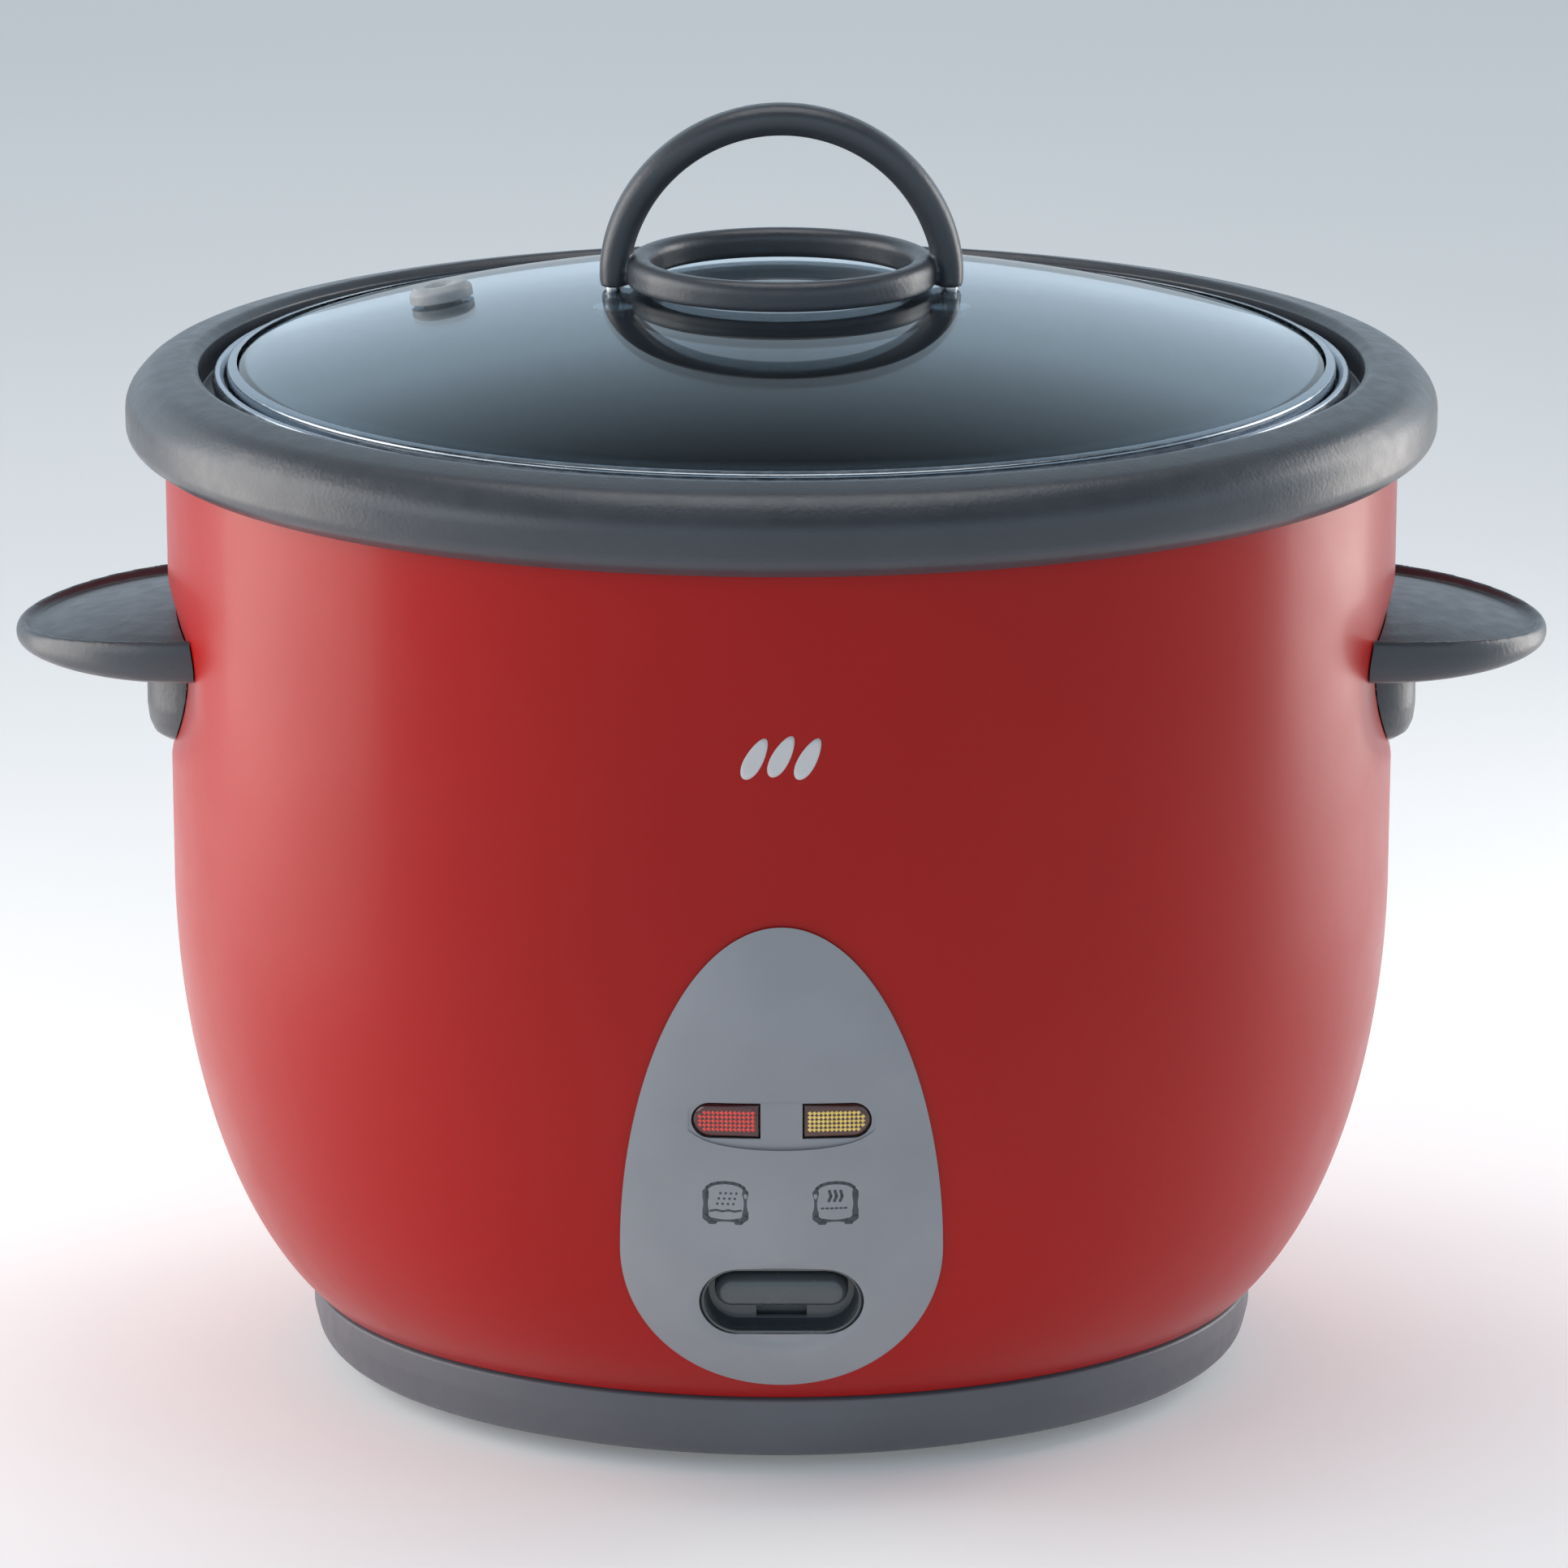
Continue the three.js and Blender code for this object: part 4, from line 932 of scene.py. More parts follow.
@dataclass
class SideHandle:
    """A broad dished wing with a raised lip and a root block, hugging the scooped body."""

    side: int
    centre_x: float = 115 * MM
    reach: float = 40.95 * MM
    half_wide: float = 39 * MM
    mid_z: float = 153.4 * MM
    droop: float = 0.045
    tip_thinning: float = 0.5
    block_x: float = 129.4 * MM
    block_mid_x: float = 112 * MM
    block_wide: float = 15.5 * MM
    block_low: float = 129.6 * MM

    SECTION = (
        (0.0, 6.0), (0.2, 5.9), (0.4, 5.5), (0.6, 4.8), (0.76, 3.9), (0.87, 3.0), (0.917, 2.5), (0.935, 2.7),
        (0.944, 3.6), (0.954, 4.4), (0.966, 4.6), (0.978, 4.4), (0.99, 3.6), (0.998, 2.2), (1.0, 0.4),
        (0.997, -1.4), (0.985, -2.9), (0.96, -4.1), (0.92, -4.8), (0.85, -5.1), (0.7, -5.2), (0.0, -5.2),
    )

    def build(self) -> None:
        """Builds the handle and trims its root to the body."""
        name = "right" if self.side > 0 else "left"
        wing = self._wing()
        combine(wing, [self._root()], "UNION")
        fuse_softly(wing, 3)
        combine(wing, [FORM.plug(0.3 * MM)], "DIFFERENCE")
        wing.name = f"handle_{name}"
        smooth_by_angle(wing, 40)
        finish_piece(wing, Body.HOUSING, "dark_plastic", [f"side_handle_{name}"])

    def _wing(self) -> Piece:
        """The elliptical wing as a stack of rings from its top to its underside."""
        lean = math.tan(self.droop)
        loops = []
        for share, height in reversed(self.SECTION):
            scale = max(share, 0.02)
            ring = []
            for angle in turns(120):
                x = self.centre_x + self.reach * scale * math.cos(angle)
                thin = 1 - self.tip_thinning * max(0.0, (x - self.centre_x) / self.reach) ** 2
                z = self.mid_z + height * thin * MM - lean * (x - self.centre_x)
                ring.append((self.side * x, self.half_wide * scale * math.sin(angle) * self.side, z))
            loops.append(ring)
        return loft("wing", loops)

    def _root(self) -> Piece:
        """The upright block under the wing, round in plan, drawn in at its foot."""
        loops = []
        for share in (0.0, 0.06, 0.16, 0.3, 0.55, 1.0):
            z = self.block_low + (self.mid_z - self.block_low) * share
            size = math.sqrt(1 - (1 - min(share / 0.3, 1)) ** 2) * 0.32 + 0.68
            ring = []
            for angle in turns(64):
                out = (self.block_x - self.block_mid_x) * (0.35 + 0.65 * size)
                x = self.block_mid_x + out * math.cos(angle)
                ring.append((self.side * x, self.block_wide * size * math.sin(angle) * self.side, z))
            loops.append(ring)
        return loft("root", loops)


@dataclass
class ControlPanel:
    """The egg-shaped panel with its dished switch surround, lamp pocket, lenses and printed signs."""

    egg_z: float = 52.3 * MM
    fan_z: float = 58 * MM
    egg_half: float = 31.8 * MM
    egg_up: float = 68 * MM
    egg_down: float = 31.6 * MM
    proud: float = 2.3 * MM
    rim_proud: float = 0.65 * MM
    dish_z: float = 39.6 * MM
    dish_half: float = 18.4 * MM
    dish_up: float = 11.6 * MM
    dish_down: float = 10.6 * MM
    dish_deep: float = 1.9 * MM
    pillow: float = 1.6 * MM
    well_wide: float = 30.4 * MM
    well_tall: float = 13.6 * MM
    well_z: float = 41.2 * MM
    well_wall: float = 0.9 * MM
    lens_z: float = 81 * MM
    lens_in: float = 4.4 * MM
    lens_out: float = 17.4 * MM
    lens_tall: float = 6.8 * MM

    def build(self) -> None:
        """Builds the panel, its lamps, its switch well and its signs."""
        panel = FORM.patch("panel", self._egg(), self.face, self.back, 90, (0.0, self.fan_z))
        cutters = [self._well_cutter(), self._pocket_cutter()]
        cutters += [self._lens_block(side, 0.3 * MM, -4 * MM, 6 * MM) for side in (-1, 1)]
        combine(panel, cutters, "DIFFERENCE")
        smooth_by_angle(panel, 32)
        finish_piece(panel, Body.HOUSING, "panel_plastic", ["control_panel"])
        self._lamps()
        self._well()
        self._signs()

    def _egg(self) -> list[Flat]:
        """The panel's outline."""
        outline = []
        for angle in turns(240):
            reach = self.egg_up if math.sin(angle) > 0 else self.egg_down
            outline.append((self.egg_half * math.cos(angle), self.egg_z + reach * math.sin(angle)))
        return outline

    def face(self, x: float, z: float, share: float) -> float:
        """How proud the panel's face stands of the body."""
        edge = max(0.0, (share - 0.93) / 0.07)
        crown = self.proud - self.pillow * share**2
        rounded_edge = crown - (crown - self.rim_proud) * (1 - math.sqrt(max(0.0, 1 - edge * edge)))
        reach = self.dish_up if z > self.dish_z else self.dish_down
        away = math.hypot(x / self.dish_half, (z - self.dish_z) / reach)
        dip = self.dish_deep * min(1.0, max(0.0, (1 - away) / 0.34))
        eased = dip * dip * (3 - 2 * dip / self.dish_deep) / self.dish_deep
        return rounded_edge - eased

    def back(self, x: float, z: float, share: float) -> float:
        """How proud the back stands: it reaches into the body's window behind the dish."""
        away = math.hypot(x / self.dish_half, (z - self.dish_z) / self.dish_up)
        return -0.9 * MM if away < 1 else 0.5 * MM

    def _well_cutter(self) -> Piece:
        """The prism that opens the panel for the switch well."""
        grown = 2 * (self.well_wall + 0.15 * MM)
        outline = stadium(self.well_wide + grown, self.well_tall + grown, self.well_z)
        return FORM.patch("well_cutter", outline, lambda x, z, share: 8 * MM, -8 * MM, 4)

    def _pocket_cutter(self) -> Piece:
        """The shallow pocket that the two lenses share: a straight top and a sagging lower edge."""
        half, top, low, sag = 18.3 * MM, 4.1 * MM, 3.9 * MM, 2.1 * MM
        outline = []
        for k in range(25):
            x = -half + 2 * half * k / 24
            drop = low + sag * (1 - (x / half) ** 2)
            ease = 1 - 0.45 * abs(x / half) ** 8
            outline.append((x, self.lens_z - drop * ease))
        for k in range(25):
            x = half - 2 * half * k / 24
            outline.append((x, self.lens_z + top * (1 - 0.45 * abs(x / half) ** 8)))
        floor = self.proud - 0.9 * MM
        return FORM.patch("pocket", outline, lambda x, z, share: 6 * MM, floor, 8, (0.0, self.lens_z))

    def _lens_outline(self, side: int, inset: float) -> list[Flat]:
        """Square towards the middle, round at the outer end."""
        half = self.lens_tall / 2 - inset
        inner, centre = self.lens_in + inset, self.lens_out - self.lens_tall / 2
        outline = [(inner, self.lens_z + half), (inner, self.lens_z - half)]
        steps = 20
        for k in range(steps + 1):
            angle = math.radians(-90 + 180 * k / steps)
            outline.append((centre + half * math.cos(angle), self.lens_z + half * math.sin(angle)))
        if side < 0:
            outline = [(-x, z) for x, z in reversed(outline)]
        return outline

    def _lens_block(self, side: int, grown: float, back: float, front: float) -> Piece:
        """A plain block of the lens's outline."""
        middle = (side * (self.lens_in + self.lens_out) / 2, self.lens_z)
        return FORM.patch("lens", self._lens_outline(side, -grown), lambda x, z, share: front, back, 5, middle)

    def _lamps(self) -> None:
        """The two lenses, each with a rounded edge and a field of moulded pyramids."""
        facets = facet_tree()
        for side, colour, node in ((-1, "red", "cook_lamp_lens"), (1, "amber", "warm_lamp_lens")):
            middle = (side * (self.lens_in + self.lens_out) / 2, self.lens_z)
            top = self.proud - 0.75 * MM

            def crown(x: float, z: float, share: float, top: float = top) -> float:
                """A flat face with a rolled edge."""
                return top - 0.5 * MM * max(0.0, (share - 0.8) / 0.2) ** 2

            outline = self._lens_outline(side, 0.05 * MM)
            lens = FORM.patch(f"{colour}_lens", outline, crown, -3.4 * MM, 16, middle)
            finish_piece(smooth_by_angle(lens, 50), Body.HOUSING, f"{colour}_lens", [node])
            points = list(self._facet_points(side, top))
            values = {"Width": 0.5 * MM, "Height": 0.22 * MM, "Material": FINISHES.get(f"{colour}_dots")}
            field_of = grow(f"{colour}_lens_facets", facets, values, points)
            finish_piece(field_of, Body.HOUSING, f"{colour}_lens")

    def _facet_points(self, side: int, proud: float) -> Iterable[tuple[Vector, Vector]]:
        """Places on a lens's face, in rows, kept clear of its edge."""
        pitch = 0.86 * MM
        centre = self.lens_out - self.lens_tall / 2
        half = self.lens_tall / 2 - 0.95 * MM
        for row in range(-3, 4):
            for column in range(14):
                x, dz = self.lens_in + 1.2 * MM + column * pitch, row * pitch
                inside = x < centre or math.hypot(x - centre, dz) < half
                if inside and abs(dz) <= half and x < self.lens_out - 1.0 * MM:
                    place = Vector(FORM.front(side * x, self.lens_z + dz, proud - 0.03 * MM))
                    yield place, Vector((place.x, place.y, 0)).normalized()

    def _well(self) -> None:
        """The dark cup that the switch bar moves in, with a soft rolled mouth."""
        wall, floor_y, back_y = self.well_wall, -103 * MM, -101.5 * MM
        mouth = ((wall, -0.1), (0.8 * wall, 0.25), (0.5 * wall, 0.35), (0.2 * wall, 0.2), (0.0, -0.3))
        outer = stadium(self.well_wide + 2 * wall, self.well_tall + 2 * wall, self.well_z)
        loops = [[(x, back_y, z) for x, z in outer]]
        for grown, proud in mouth:
            ring = stadium(self.well_wide + 2 * grown, self.well_tall + 2 * grown, self.well_z)
            loops.append([FORM.front(x, z, proud * MM) for x, z in ring])
        inner = stadium(self.well_wide, self.well_tall, self.well_z)
        loops.append([(x, floor_y - 0.8 * MM, z) for x, z in inner])
        floor = stadium(self.well_wide - 1.6 * MM, self.well_tall - 1.6 * MM, self.well_z)
        loops.append([(x, floor_y, z) for x, z in floor])
        cup = loft("switch_cup", loops)
        slot = block((-5 * MM, -0.11, 35.4 * MM), (5 * MM, -0.09, 45.3 * MM))
        combine(cup, [slot], "DIFFERENCE")
        finish_piece(smooth_by_angle(cup, 45), Body.HOUSING, "gloss_dark_plastic", ["switch_well"])

    def _signs(self) -> None:
        """Two plain pot signs: one boiling, one keeping warm."""
        left, right = -11.0, 10.6
        strokes = [*self._pot_sign(left), *self._pot_sign(right)]
        for x, z in self._bubbles():
            strokes.append(self._stroke((left + x, 63.9 + z), (left + x, 63.91 + z), 0.26))
        wave = [(-14.0 + 1.2 * k, 61.9 + 0.25 * (k % 2)) for k in range(6)]
        strokes += [self._stroke(start, end, 0.22) for start, end in zip(wave, wave[1:])]
        for offset in (-1.1, 0.0, 1.1):
            x = right + offset
            strokes.append(self._stroke((x - 0.2, 64.2), (x + 0.2, 65.2), 0.3))
            strokes.append(self._stroke((x + 0.2, 65.2), (x - 0.1, 66.3), 0.3))
        strokes += [self._stroke((7.9 + 0.9 * k, 62.6), (8.25 + 0.9 * k, 62.6), 0.2) for k in range(6)]
        signs = merge("panel_signs", strokes)
        finish_piece(signs, Body.HOUSING, "panel_plastic", look="print_ink")

    def _bubbles(self) -> list[Flat]:
        """Places of the boiling sign's dots, in millimetres from its middle."""
        return [(-1.6 + 1.05 * (k % 4) + 0.3 * (k // 4), -0.4 + 1.15 * (k // 4)) for k in range(12)]

    def _pot_sign(self, centre: float) -> list[Piece]:
        """A pot in outline: thick walls and floor, two feet and a domed lid."""
        mid_z = 63.8
        half, low, high = 3.9, -3.9, 2.2
        walls = [((-half, high), (-half, low + 0.6), 0.62), ((half, low + 0.6), (half, high), 0.62)]
        floor = [((-half, low + 0.6), (-half + 0.8, low), 0.62), ((-half + 0.8, low), (half - 0.8, low), 0.5),
                 ((half - 0.8, low), (half, low + 0.6), 0.62)]
        feet = [((side * 2.6 - 0.5, low - 0.5), (side * 2.6 + 0.5, low - 0.5), 0.36) for side in (-1, 1)]
        lid = []
        for k in range(8):
            ends = [math.radians(180 - 180 * j / 8) for j in (k, k + 1)]
            start, end = ((half * math.cos(a), high + 2.1 * max(math.sin(a), 0.0) ** 0.8) for a in ends)
            lid.append((start, end, 0.34))
        return [
            self._stroke((centre + a[0], mid_z + a[1]), (centre + b[0], mid_z + b[1]), width)
            for a, b, width in walls + floor + feet + lid
        ]

    def _stroke(self, start: Flat, end: Flat, half: float) -> Piece:
        """One inked line with round ends, in millimetres, just proud of the panel."""
        angle = math.atan2(end[1] - start[1], end[0] - start[0])
        outline = []
        for place, turn in ((end, -90), (start, 90)):
            for k in range(7):
                a = angle + math.radians(turn + 30 * k)
                outline.append(((place[0] + half * math.cos(a)) * MM, (place[1] + half * math.sin(a)) * MM))

        def ink(x: float, z: float, share: float) -> float:
            """The height of the print above the panel's face."""
            return self.face(x, z, self._share(x, z)) + 0.04 * MM

        middle = ((start[0] + end[0]) / 2 * MM, (start[1] + end[1]) / 2 * MM)
        return FORM.patch("stroke", outline, ink, self.proud - 0.45 * MM, 1, middle)

    def _share(self, x: float, z: float) -> float:
        """How far a place is from the middle of the panel towards its rim."""
        reach = self.egg_up if z > self.egg_z else self.egg_down
        return min(math.hypot(x / self.egg_half, (z - self.egg_z) / reach), 1.0)


@dataclass
class Switch:
    """The glossy switch bar on its stem, and the coil springs of the switch and the sensor."""

    wide: float = 26.4 * MM
    tall: float = 7.0 * MM
    mid_z: float = 43.0 * MM
    front_y: float = -111.6 * MM
    back_y: float = -105 * MM
    stem_half: float = 4 * MM
    stem_low: float = 40.5 * MM
    stem_high: float = 44.5 * MM
    shutter_half: float = 7 * MM

    def build(self) -> None:
        """Builds the bar with its stem, and both springs."""
        loops = [[(x, self.back_y, z) for x, z in self._outline(0.0)]]
        for k in range(9):
            angle = math.radians(90 * k / 8)
            inset = 2.7 * MM * (1 - math.cos(angle))
            y = self.front_y + 2.7 * MM * (1 - math.sin(angle))
            loops.append([(x, y, z) for x, z in self._outline(inset)])
        bar = loft("switch_bar", loops)
        low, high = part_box("switch_knob")
        half, wide = self.stem_half, self.shutter_half
        stem = block((-half, self.back_y - 1 * MM, self.stem_low), (half, high.y, self.stem_high))
        leg = block((-half, high.y - 4 * MM, low.z), (half, high.y, self.stem_high - 0.1 * MM))
        shutter = block((-wide, -100 * MM, 31 * MM), (wide, -99.2 * MM, 41.5 * MM))
        slot = block((-wide, high.y - 3.8 * MM, 21.7 * MM), (wide, high.y + 1 * MM, 23.8 * MM))
        combine(bar, [stem, leg, shutter], "UNION")
        combine(bar, [slot], "DIFFERENCE")
        finish_piece(smooth_by_angle(bar, 45), Body.LEVER, "gloss_dark_plastic", ["switch_knob"])
        self._springs()

    def _outline(self, inset: float) -> list[Flat]:
        """The bar's front outline, drawn in by an inset."""
        return stadium(self.wide - 2 * inset, self.tall - 2 * inset, self.mid_z, 72)

    def _springs(self) -> None:
        """Round-wire compression springs in place of their plain solids."""
        coils = coil_tree()
        for name, node, wire, turns, body in (
            ("magnet_return_spring", "magnet_spring", 0.5 * MM, 4.5, Body.HOUSING),
            ("sensor_lift_spring", "sensor_spring", 0.75 * MM, 4.0, Body.SENSOR),
        ):
            low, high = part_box(node)
            values = {
                "Turns": turns, "Radius": (high.x - low.x) / 2 - wire, "Height": high.z - low.z - 2 * wire,
                "Wire": wire, "Base": low.z + wire, "Material": FINISHES.get("bright_steel"),
            }
            spring = grow(name, coils, values)
            spring.data.shade_smooth()
            finish_piece(spring, body, "bright_steel", [node])
            if node == "magnet_spring":
                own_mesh(spring)


@dataclass
class Pot:
    """The drawn pot: bright outside and rolled lip, dark non-stick inside."""

    def build(self) -> None:
        """Builds the pot with its two finishes."""
        profile = [
            (0, 62.8, 0), (108.5, 62.8, 24), (108.5, 200.4, 2), (110.8, 201.5, 0.8), (114.6, 201.5, 1.2),
            (115.5, 204.4, 1.6), (114.6, 207.0, 1.3), (112.9, 205.4, 1.2), (112.9, 202.8, 0.5),
            (109.4, 202.5, 0.9), (107.0, 200.2, 1.5), (107.0, 64.3, 22.5), (0, 64.3, 0),
        ]
        pot = revolve("cooking_pot", rounded(profile, closed=False))
        pot.data.materials.append(FINISHES.get("pot_metal"))
        pot.data.materials.append(FINISHES.get("non_stick"))
        for face in pot.data.polygons:
            middle, normal = face.center, face.normal
            inwards = normal.x * middle.x + normal.y * middle.y < 0 or normal.z > 0.7
            radius = math.hypot(middle.x, middle.y)
            if inwards and radius < 112 * MM and middle.z < 203.5 * MM:
                face.material_index = 1
        finish_piece(pot, Body.POT, "pot_metal", ["inner_pot"])


@dataclass
class Lid:
    """The domed glass lid with its steel band, arch handle, screws and steam vent."""

    apex_z: float = 224 * MM
    sphere_r: float = 381 * MM
    edge_r: float = 111.7 * MM
    thick: float = 3.6 * MM
    vent_x: float = -69 * MM
    vent_y: float = 11 * MM
    ring_r: float = 28.8 * MM
    arch_r: float = 34 * MM
    arch_low: float = 223.2 * MM
    arch_high: float = 260.5 * MM

    def height(self, r: float) -> float:
        """Height of the glass's upper face at a radius."""
        return self.apex_z - self.sphere_r + math.sqrt(self.sphere_r**2 - r * r)

    def build(self) -> None:
        """Builds every piece of the lid."""
        self._glass()
        self._band()
        self._handle()
        self._vent()
        self._screws()

    def _glass(self) -> None:
        """The dome, with a ground round edge."""
        rows = 48
        upper = [(self.edge_r * k / rows, self.height(self.edge_r * k / rows)) for k in range(rows)]
        lower = [(r, z - self.thick) for r, z in reversed(upper)]
        bulge = self.thick / 2
        mid = self.height(self.edge_r) - bulge + 0.15 * MM
        edge = []
        for k in range(9):
            angle = math.radians(75 - 150 * k / 8)
            edge.append((self.edge_r - bulge + bulge * math.cos(angle), mid + bulge * math.sin(angle)))
        glass = revolve("glass_dome", [*upper[:-1], *edge, *lower[1:]])
        finish_piece(glass, Body.LID, "lid_glass", ["lid_glass"])

    def _band(self) -> None:
        """The slim steel band folded round the glass's edge."""
        r, top = self.edge_r / MM, self.height(self.edge_r) / MM
        band = [
            (r - 1.3, top + 0.6, 0.1), (r - 1.3, top + 0.9, 0.1), (r + 0.7, top + 0.4, 0.7),
            (r + 0.7, 203.1, 0.5), (r - 2.0, 203.1, 0.15), (r - 2.0, 203.5, 0.15), (r + 0.3, 203.5, 0.3),
            (r + 0.3, top + 0.25, 0.4),
        ]
        finish_piece(revolve("lid_edge_band", rounded(band)), Body.LID, "band_steel", ["lid_band"])

    def _handle(self) -> None:
        """The ring on the glass and the arch above it, moulded in one with soft joins."""
        inner, outer = self.ring_r / MM - 2.6, self.ring_r / MM + 2.6
        section = [(inner, 223.5, 0.8), (outer, 223.5, 0.8), (outer, 229.4, 2.4), (inner, 229.4, 2.4)]
        ring = revolve("lid_grip", rounded(section), 160)
        combine(ring, [self._arch()], "UNION")
        fuse_softly(ring, 8)
        ring.data.shade_smooth()
        finish_piece(ring, Body.LID, "dark_plastic", ["lid_handle"])

    def _arch(self) -> Piece:
        """A half-round bar of flattened oval section, standing upright over the ring."""
        steps, count = 96, 36
        wide, deep = 6.6 * MM, 8.6 * MM
        rise = self.arch_high - wide / 2 - self.arch_low
        loops = []
        for k in range(steps + 1):
            angle = math.pi * k / steps
            centre = Vector((self.arch_r * math.cos(angle), 0, self.arch_low + rise * math.sin(angle)))
            along = Vector((-self.arch_r * math.sin(angle), 0, rise * math.cos(angle))).normalized()
            out = Vector((along.z, 0, -along.x))
            foot = 1 - 0.16 * (1 - math.sin(angle)) ** 6
            ring = []
            for turn in turns(count):
                cosine, sine = math.cos(turn), math.sin(turn)
                across = wide / 2 * foot * math.copysign(abs(cosine) ** 0.85, cosine)
                aside = deep / 2 * math.copysign(abs(sine) ** 0.85, sine)
                ring.append(centre + out * across + Vector((0, aside, 0)))
            loops.append(ring)
        return loft("arch", loops)

    def _vent(self) -> None:
        """The silicone grommet with its steam hole, set square to the glass."""
        t = self.thick / MM
        profile = [
            (2.2, -t - 2.0, 0.4), (5.9, -t - 2.0, 0.7), (5.9, -t - 0.3, 0.3), (3.8, -t - 0.3, 0.1),
            (3.8, 0.4, 0.1), (6.5, 0.4, 0.3), (6.5, 2.5, 0.9), (5.2, 3.6, 0.8), (3.2, 3.5, 0.5),
            (2.2, 2.7, 0.4),
        ]
        vent = revolve("steam_grommet", rounded(profile), 72)
        r = math.hypot(self.vent_x, self.vent_y)
        lean = math.asin(r / self.sphere_r)
        turn = Matrix.Rotation(lean, 4, Vector((-self.vent_y, self.vent_x, 0)))
        vent.data.transform(Matrix.Translation((self.vent_x, self.vent_y, self.height(r))) @ turn)
        finish_piece(vent, Body.LID, "silicone", ["steam_vent"])

    def _screws(self) -> None:
        """The two screws that hold the handle from under the glass."""
        head_tall = 1.4 * MM
        seat_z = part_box("handle_screw_left")[0].z + head_tall
        points = [(Vector((side * self.arch_r, 0, seat_z)), Vector((0, 0, -1))) for side in (-1, 1)]
        values = {
            "Head Radius": 4.1 * MM, "Head Height": head_tall, "Shank Radius": 1.7 * MM,
            "Shank Length": 15 * MM, "Slot": 1.2 * MM, "Material": FINISHES.get("bright_steel"),
        }
        pair = grow("lid_grip_screws", screw_tree(), values, points)
        finish_piece(pair, Body.LID, "bright_steel", ["handle_screw_left", "handle_screw_right"])


@dataclass
class Fixings:
    """The housing's screws, made in sets by one tree."""

    def build(self) -> None:
        """Builds each set of screws from the places of its nodes."""
        tree = screw_tree()
        sets = (
            ("bottom_plate_screws", "bottom_screw", 3, Vector((0, 0, -1)), 4.0, 2.0, 11.8),
            ("inlet_screws", "inlet_screw", 2, Vector((0, 1, 0)), 2.8, 1.6, 12.4),
        )
        for name, stem, count, axis, head, tall, total in sets:
            nodes = [f"{stem}_{number + 1}" for number in range(count)]
            points = []
            for node in nodes:
                low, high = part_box(node)
                middle = (low + high) / 2
                if axis.z:
                    place = Vector((middle.x, middle.y, low.z))
                else:
                    place = Vector((middle.x, high.y, middle.z))
                points.append((place - axis * tall * MM, axis))
            values = {
                "Head Radius": head * MM, "Head Height": tall * MM, "Shank Radius": head * 0.4 * MM,
                "Shank Length": (total - tall) * MM, "Slot": 0.24 * head * MM,
                "Material": FINISHES.get("bright_steel"),
            }
            finish_piece(grow(name, tree, values, points), Body.HOUSING, "bright_steel", nodes)


@dataclass
class Works:
    """What sits inside the body: the liner, the heating plate and the sensor."""

    def build(self) -> None:
        """Builds the turned pieces inside."""
        liner = [
            (12.5, 48.0, 0.2), (114.3, 48.0, 25), (114.3, 195.2, 0.4), (123.4, 195.2, 0.3),
            (123.4, 196.2, 0.3), (113.3, 196.2, 0.8), (113.3, 49.0, 24), (12.5, 49.0, 0.2),
        ]
        shell = revolve("heat_shield", rounded(liner), 144)
        finish_piece(shell, Body.HOUSING, "plate_steel", ["inner_liner"])
        finish_piece(self._plate(), Body.HOUSING, "cast_aluminium", ["heating_plate"])
        cap = [
            (0, 62.5, 0), (17.6, 62.5, 0.9), (18.0, 61.4, 0.3), (18.0, 55.5, 0.2), (17.0, 55.5, 0.2),
            (17.0, 60.5, 0.4), (11.5, 60.5, 0.3), (11.5, 42.0, 0.2), (10.5, 42.0, 0.2), (10.5, 60.5, 0.3),
            (0, 60.5, 0),
        ]
        dome = revolve("sensor_dome", rounded(cap, closed=False), 96)
        finish_piece(dome, Body.SENSOR, "cast_aluminium", ["sensor_cap"])

    def _plate(self) -> Piece:
        """The cast heating plate, its face turned with shallow rings."""
        top, under = 62.5, 53.0
        corners: list[Corner] = [(18.7, 55.0, 0.4), (18.7, top, 0.7)]
        for k in range(15):
            r = 24 + 3.6 * k
            corners += [(r, top, 0.0), (r + 0.5, top - 0.14, 0.1), (r + 1.0, top, 0.0)]
        corners += [
            (82.6, top, 2.0), (84.0, 60.4, 1.2), (84.0, 57.0, 0.8), (71.0, 57.0, 1.5), (68.0, under, 1.5),
            (56.0, under, 1.5), (53.0, 57.0, 1.5), (30.0, 57.0, 1.0), (28.0, 55.0, 0.8),
        ]
        return revolve("cast_plate", rounded(corners))


class FrameNodes:
    """The frame's own nodes that stay in view, welded, with broken edges and a finish."""

    BEVELS = {
        "power_inlet": 0.7, "inlet_pin_live": 0.4, "inlet_pin_neutral": 0.4, "bottom_plate": 0.2,
        "switch_bracket": 0.25, "lever_arm": 0.25, "microswitch": 0.5, "lamp_holder": 0.2, "magnet": 0.5,
        "sensor_ferrite": 0.5, "warm_thermostat": 0.6, "thermal_fuse": 0.5,
    }

    def dress(self, replaced: set[str]) -> None:
        """Dresses every node that no new piece stands for."""
        slots = {row["node"]: row["material_slot"] for row in frame["record"]["subparts"]}
        for name, node in frame["nodes"].items():
            node.data.materials.clear()
            node.data.materials.append(FINISHES.get(slots[name]))
            if name in replaced:
                continue
            weld = node.modifiers.new("weld", "WELD")
            weld.merge_threshold = 0.01 * MM
            bevel = node.modifiers.new("edges", "BEVEL")
            bevel.width = self.BEVELS.get(name, 0.12) * MM
            bevel.segments = 2
            bevel.limit_method = "ANGLE"
            bevel.angle_limit = math.radians(38)
            bevel.harden_normals = False
            LOG.info("%s: frame node, dressed as %s", name, slots[name])


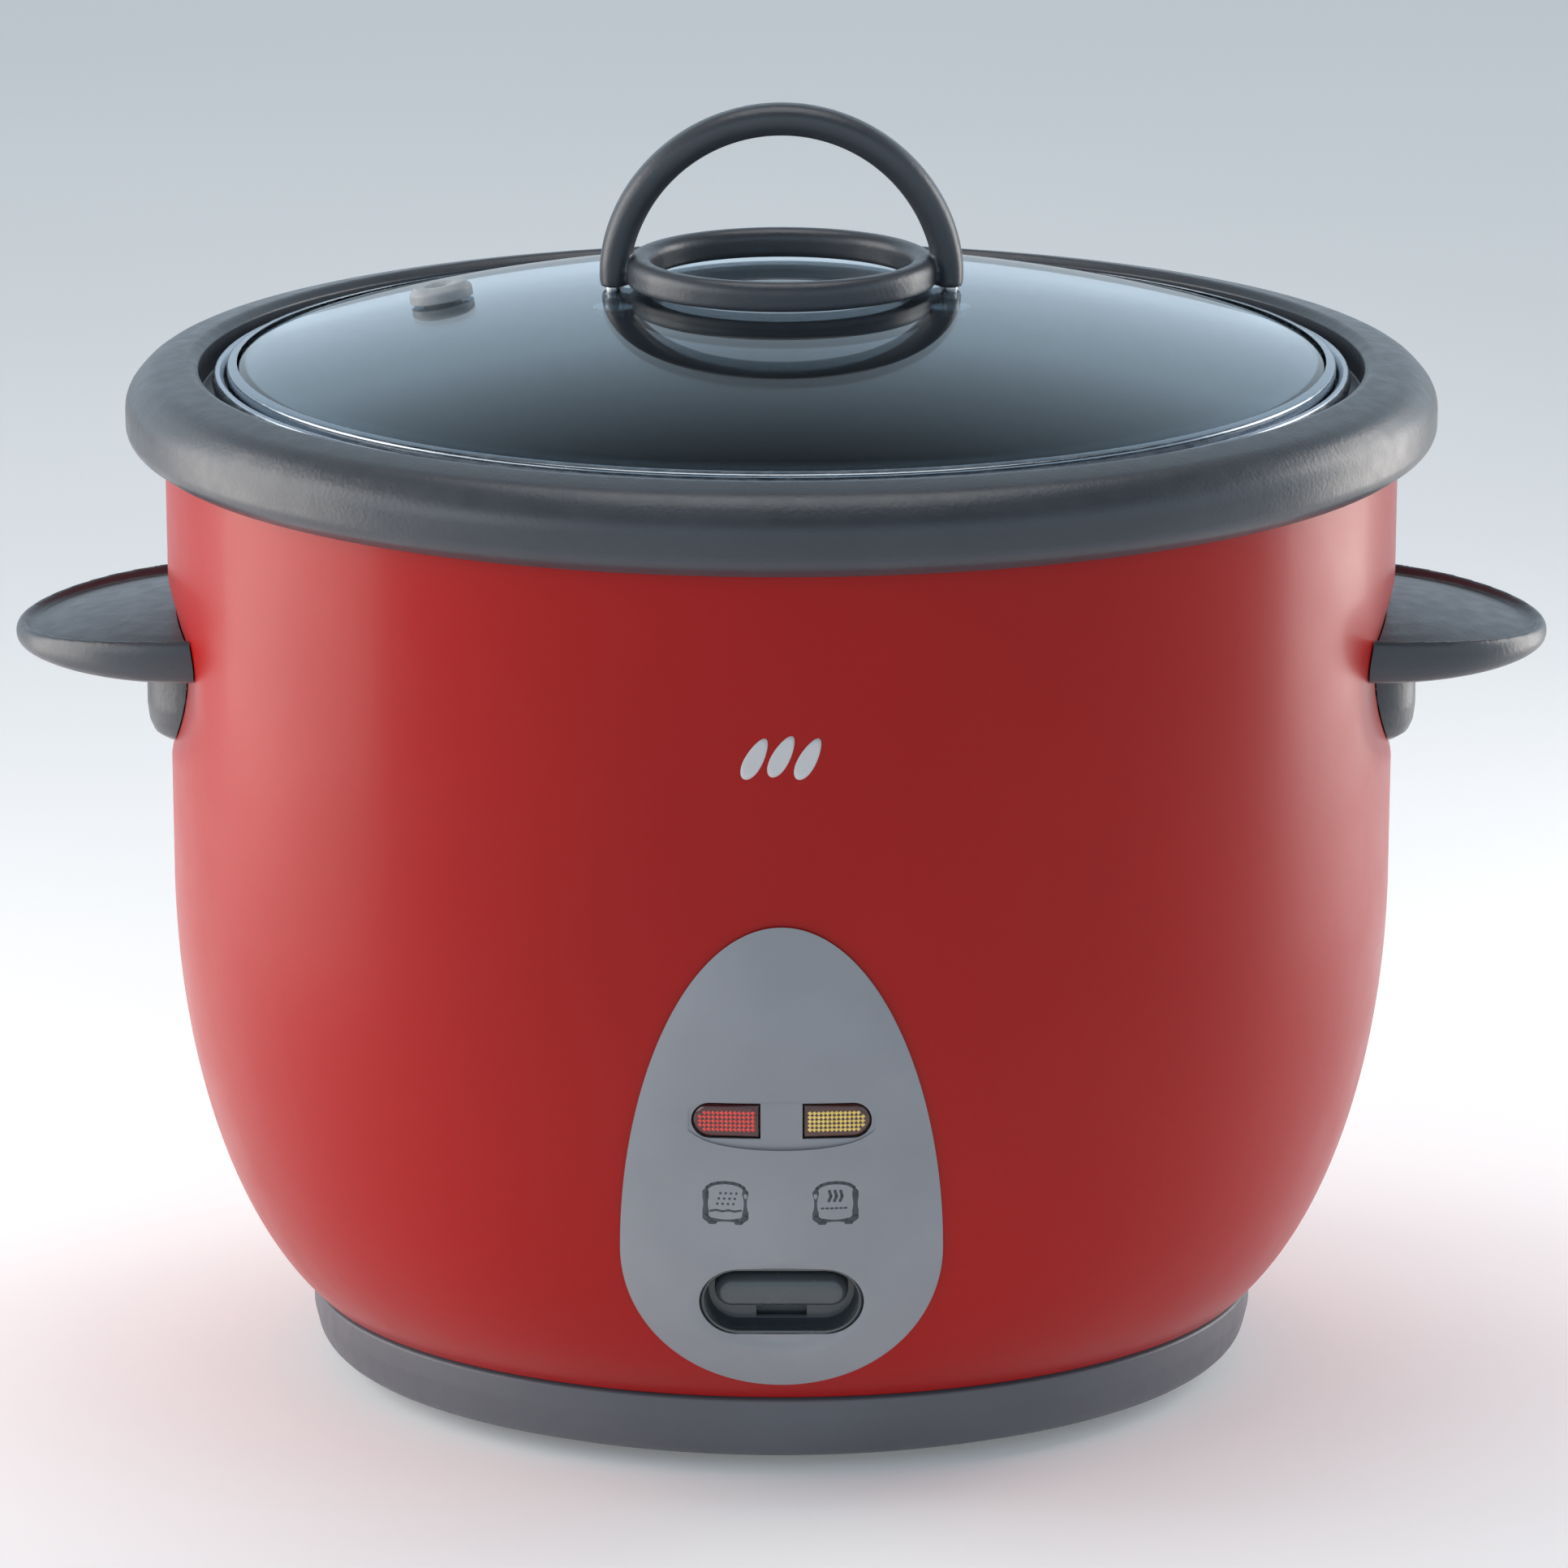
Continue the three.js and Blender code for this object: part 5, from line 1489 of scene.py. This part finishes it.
# ---- studio -------------------------------------------------------------------------------------
@dataclass(frozen=True)
class SoftBox:
    """A rectangular studio light aimed at the cooker."""

    name: str
    azimuth: float
    elevation: float
    distance: float
    wide: float
    tall: float
    power: float
    colour: tuple[float, float, float] = (1.0, 1.0, 1.0)
    aim_z: float = 0.12

    def place(self) -> None:
        """Hangs the light; azimuth 0 is behind the camera and grows to the camera's left."""
        light = bpy.data.lights.new(self.name, "AREA")
        light.shape = "RECTANGLE"
        light.size = self.wide
        light.size_y = self.tall
        light.energy = self.power
        light.color = self.colour
        lamp = bpy.data.objects.new(self.name, light)
        bpy.context.scene.collection.objects.link(lamp)
        turn, rise = math.radians(self.azimuth), math.radians(self.elevation)
        way = Vector((-math.sin(turn) * math.cos(rise), -math.cos(turn) * math.cos(rise), math.sin(rise)))
        target = Vector((0, 0, self.aim_z))
        lamp.location = target + way * self.distance
        lamp.rotation_euler = (-way).to_track_quat("-Z", "Y").to_euler()


@dataclass
class Studio:
    """Camera, floor, surroundings and lights."""

    distance: float = 2.5
    camera_z: float = 0.7193
    tilt: float = 13.5
    lens: float = 288.7
    floor_half: float = 9.0
    boxes: tuple[SoftBox, ...] = field(
        default_factory=lambda: (
            SoftBox("left_box", 96, 0, 0.62, 0.5, 0.62, 3.4, (1.0, 0.93, 0.87), 0.31),
            SoftBox("left_fill", 58, 16, 1.7, 0.8, 0.9, 3.0, (1.0, 0.96, 0.93), 0.16),
            SoftBox("right_box", -116, 0, 0.68, 0.38, 0.56, 3.0, (1.0, 0.94, 0.89), 0.28),
            SoftBox("top_box", 180, 82, 1.9, 1.4, 1.4, 13),
        )
    )

    def build(self) -> None:
        """Sets up the whole studio."""
        self._camera()
        self._floor()
        self._world()
        for box in self.boxes:
            box.place()
        settings = bpy.context.scene.view_settings
        settings.view_transform = "Standard"
        settings.look = "None"

    def _camera(self) -> None:
        """A long lens in front of and above the cooker."""
        camera = bpy.data.cameras.new("camera")
        camera.sensor_width = 36
        camera.lens = self.lens
        camera.shift_x = 0.0016
        camera.clip_end = 60
        holder = bpy.data.objects.new("camera", camera)
        holder.location = (0, -self.distance, self.camera_z)
        holder.rotation_euler = (math.radians(90 - self.tilt), 0, 0)
        bpy.context.scene.collection.objects.link(holder)
        bpy.context.scene.camera = holder

    def _floor(self) -> None:
        """A large pale floor."""
        half = self.floor_half
        corners = [(-half, -half, 0), (half, -half, 0), (half, half, 0), (-half, half, 0)]
        floor = mesh_object("floor", corners, [(0, 1, 2, 3)])
        graph = ShaderGraph("pale_floor")
        graph.tint(graph.noise(3), (0.93, 0.93, 0.935, 1), (0.96, 0.96, 0.96, 1))
        graph.set(Roughness=0.7, Specular_IOR_Level=0.2, Emission_Color=(1, 1, 1, 1), Emission_Strength=0.14)
        floor.data.materials.append(graph.material)
        floor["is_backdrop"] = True

    def _world(self) -> None:
        """A studio that is bright and cool near the horizon and dim overhead."""
        world = bpy.data.worlds.new("studio")
        world.use_nodes = True
        bpy.context.scene.world = world
        nodes, links = world.node_tree.nodes, world.node_tree.links
        background = nodes["Background"]
        way = nodes.new("ShaderNodeTexCoord")
        split = nodes.new("ShaderNodeSeparateXYZ")
        ramp = nodes.new("ShaderNodeValToRGB")
        links.new(way.outputs["Generated"], split.inputs[0])
        links.new(split.outputs["Z"], ramp.inputs["Fac"])
        links.new(ramp.outputs["Color"], background.inputs["Color"])
        stops = ramp.color_ramp.elements
        stops[0].position, stops[0].color = 0.0, (0.72, 0.86, 0.98, 1)
        stops[1].position, stops[1].color = 0.72, (0.03, 0.035, 0.04, 1)
        high = stops.new(0.4)
        high.color = (0.62, 0.78, 0.92, 1)
        background.inputs["Strength"].default_value = 1.0


def write_sizes() -> None:
    pairs = (("cad", CAD_BOX), ("visual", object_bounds()))
    boxes = {name: [list(corner) for corner in box] for name, box in pairs}


def main() -> None:
    """Builds the studio and every sub-assembly in order."""
    logging.basicConfig(level=logging.INFO, format="%(message)s")
    Studio().build()
    before = set(bpy.data.objects)
    parts = (
        OuterBody(), Rims(), SideHandle(1), SideHandle(-1), ControlPanel(), Switch(), Pot(), Lid(), Fixings(),
        Works(),
    )
    for part in parts:
        part.build()
    made = [piece for piece in bpy.data.objects if piece not in before]
    replaced = {name for name, node in frame["nodes"].items() if node.hide_render}
    FrameNodes().dress(replaced)
    LOG.info("%d new pieces, %d frame nodes replaced", len(made), len(replaced))
    write_sizes()


if __name__ == "__main__":
    main()
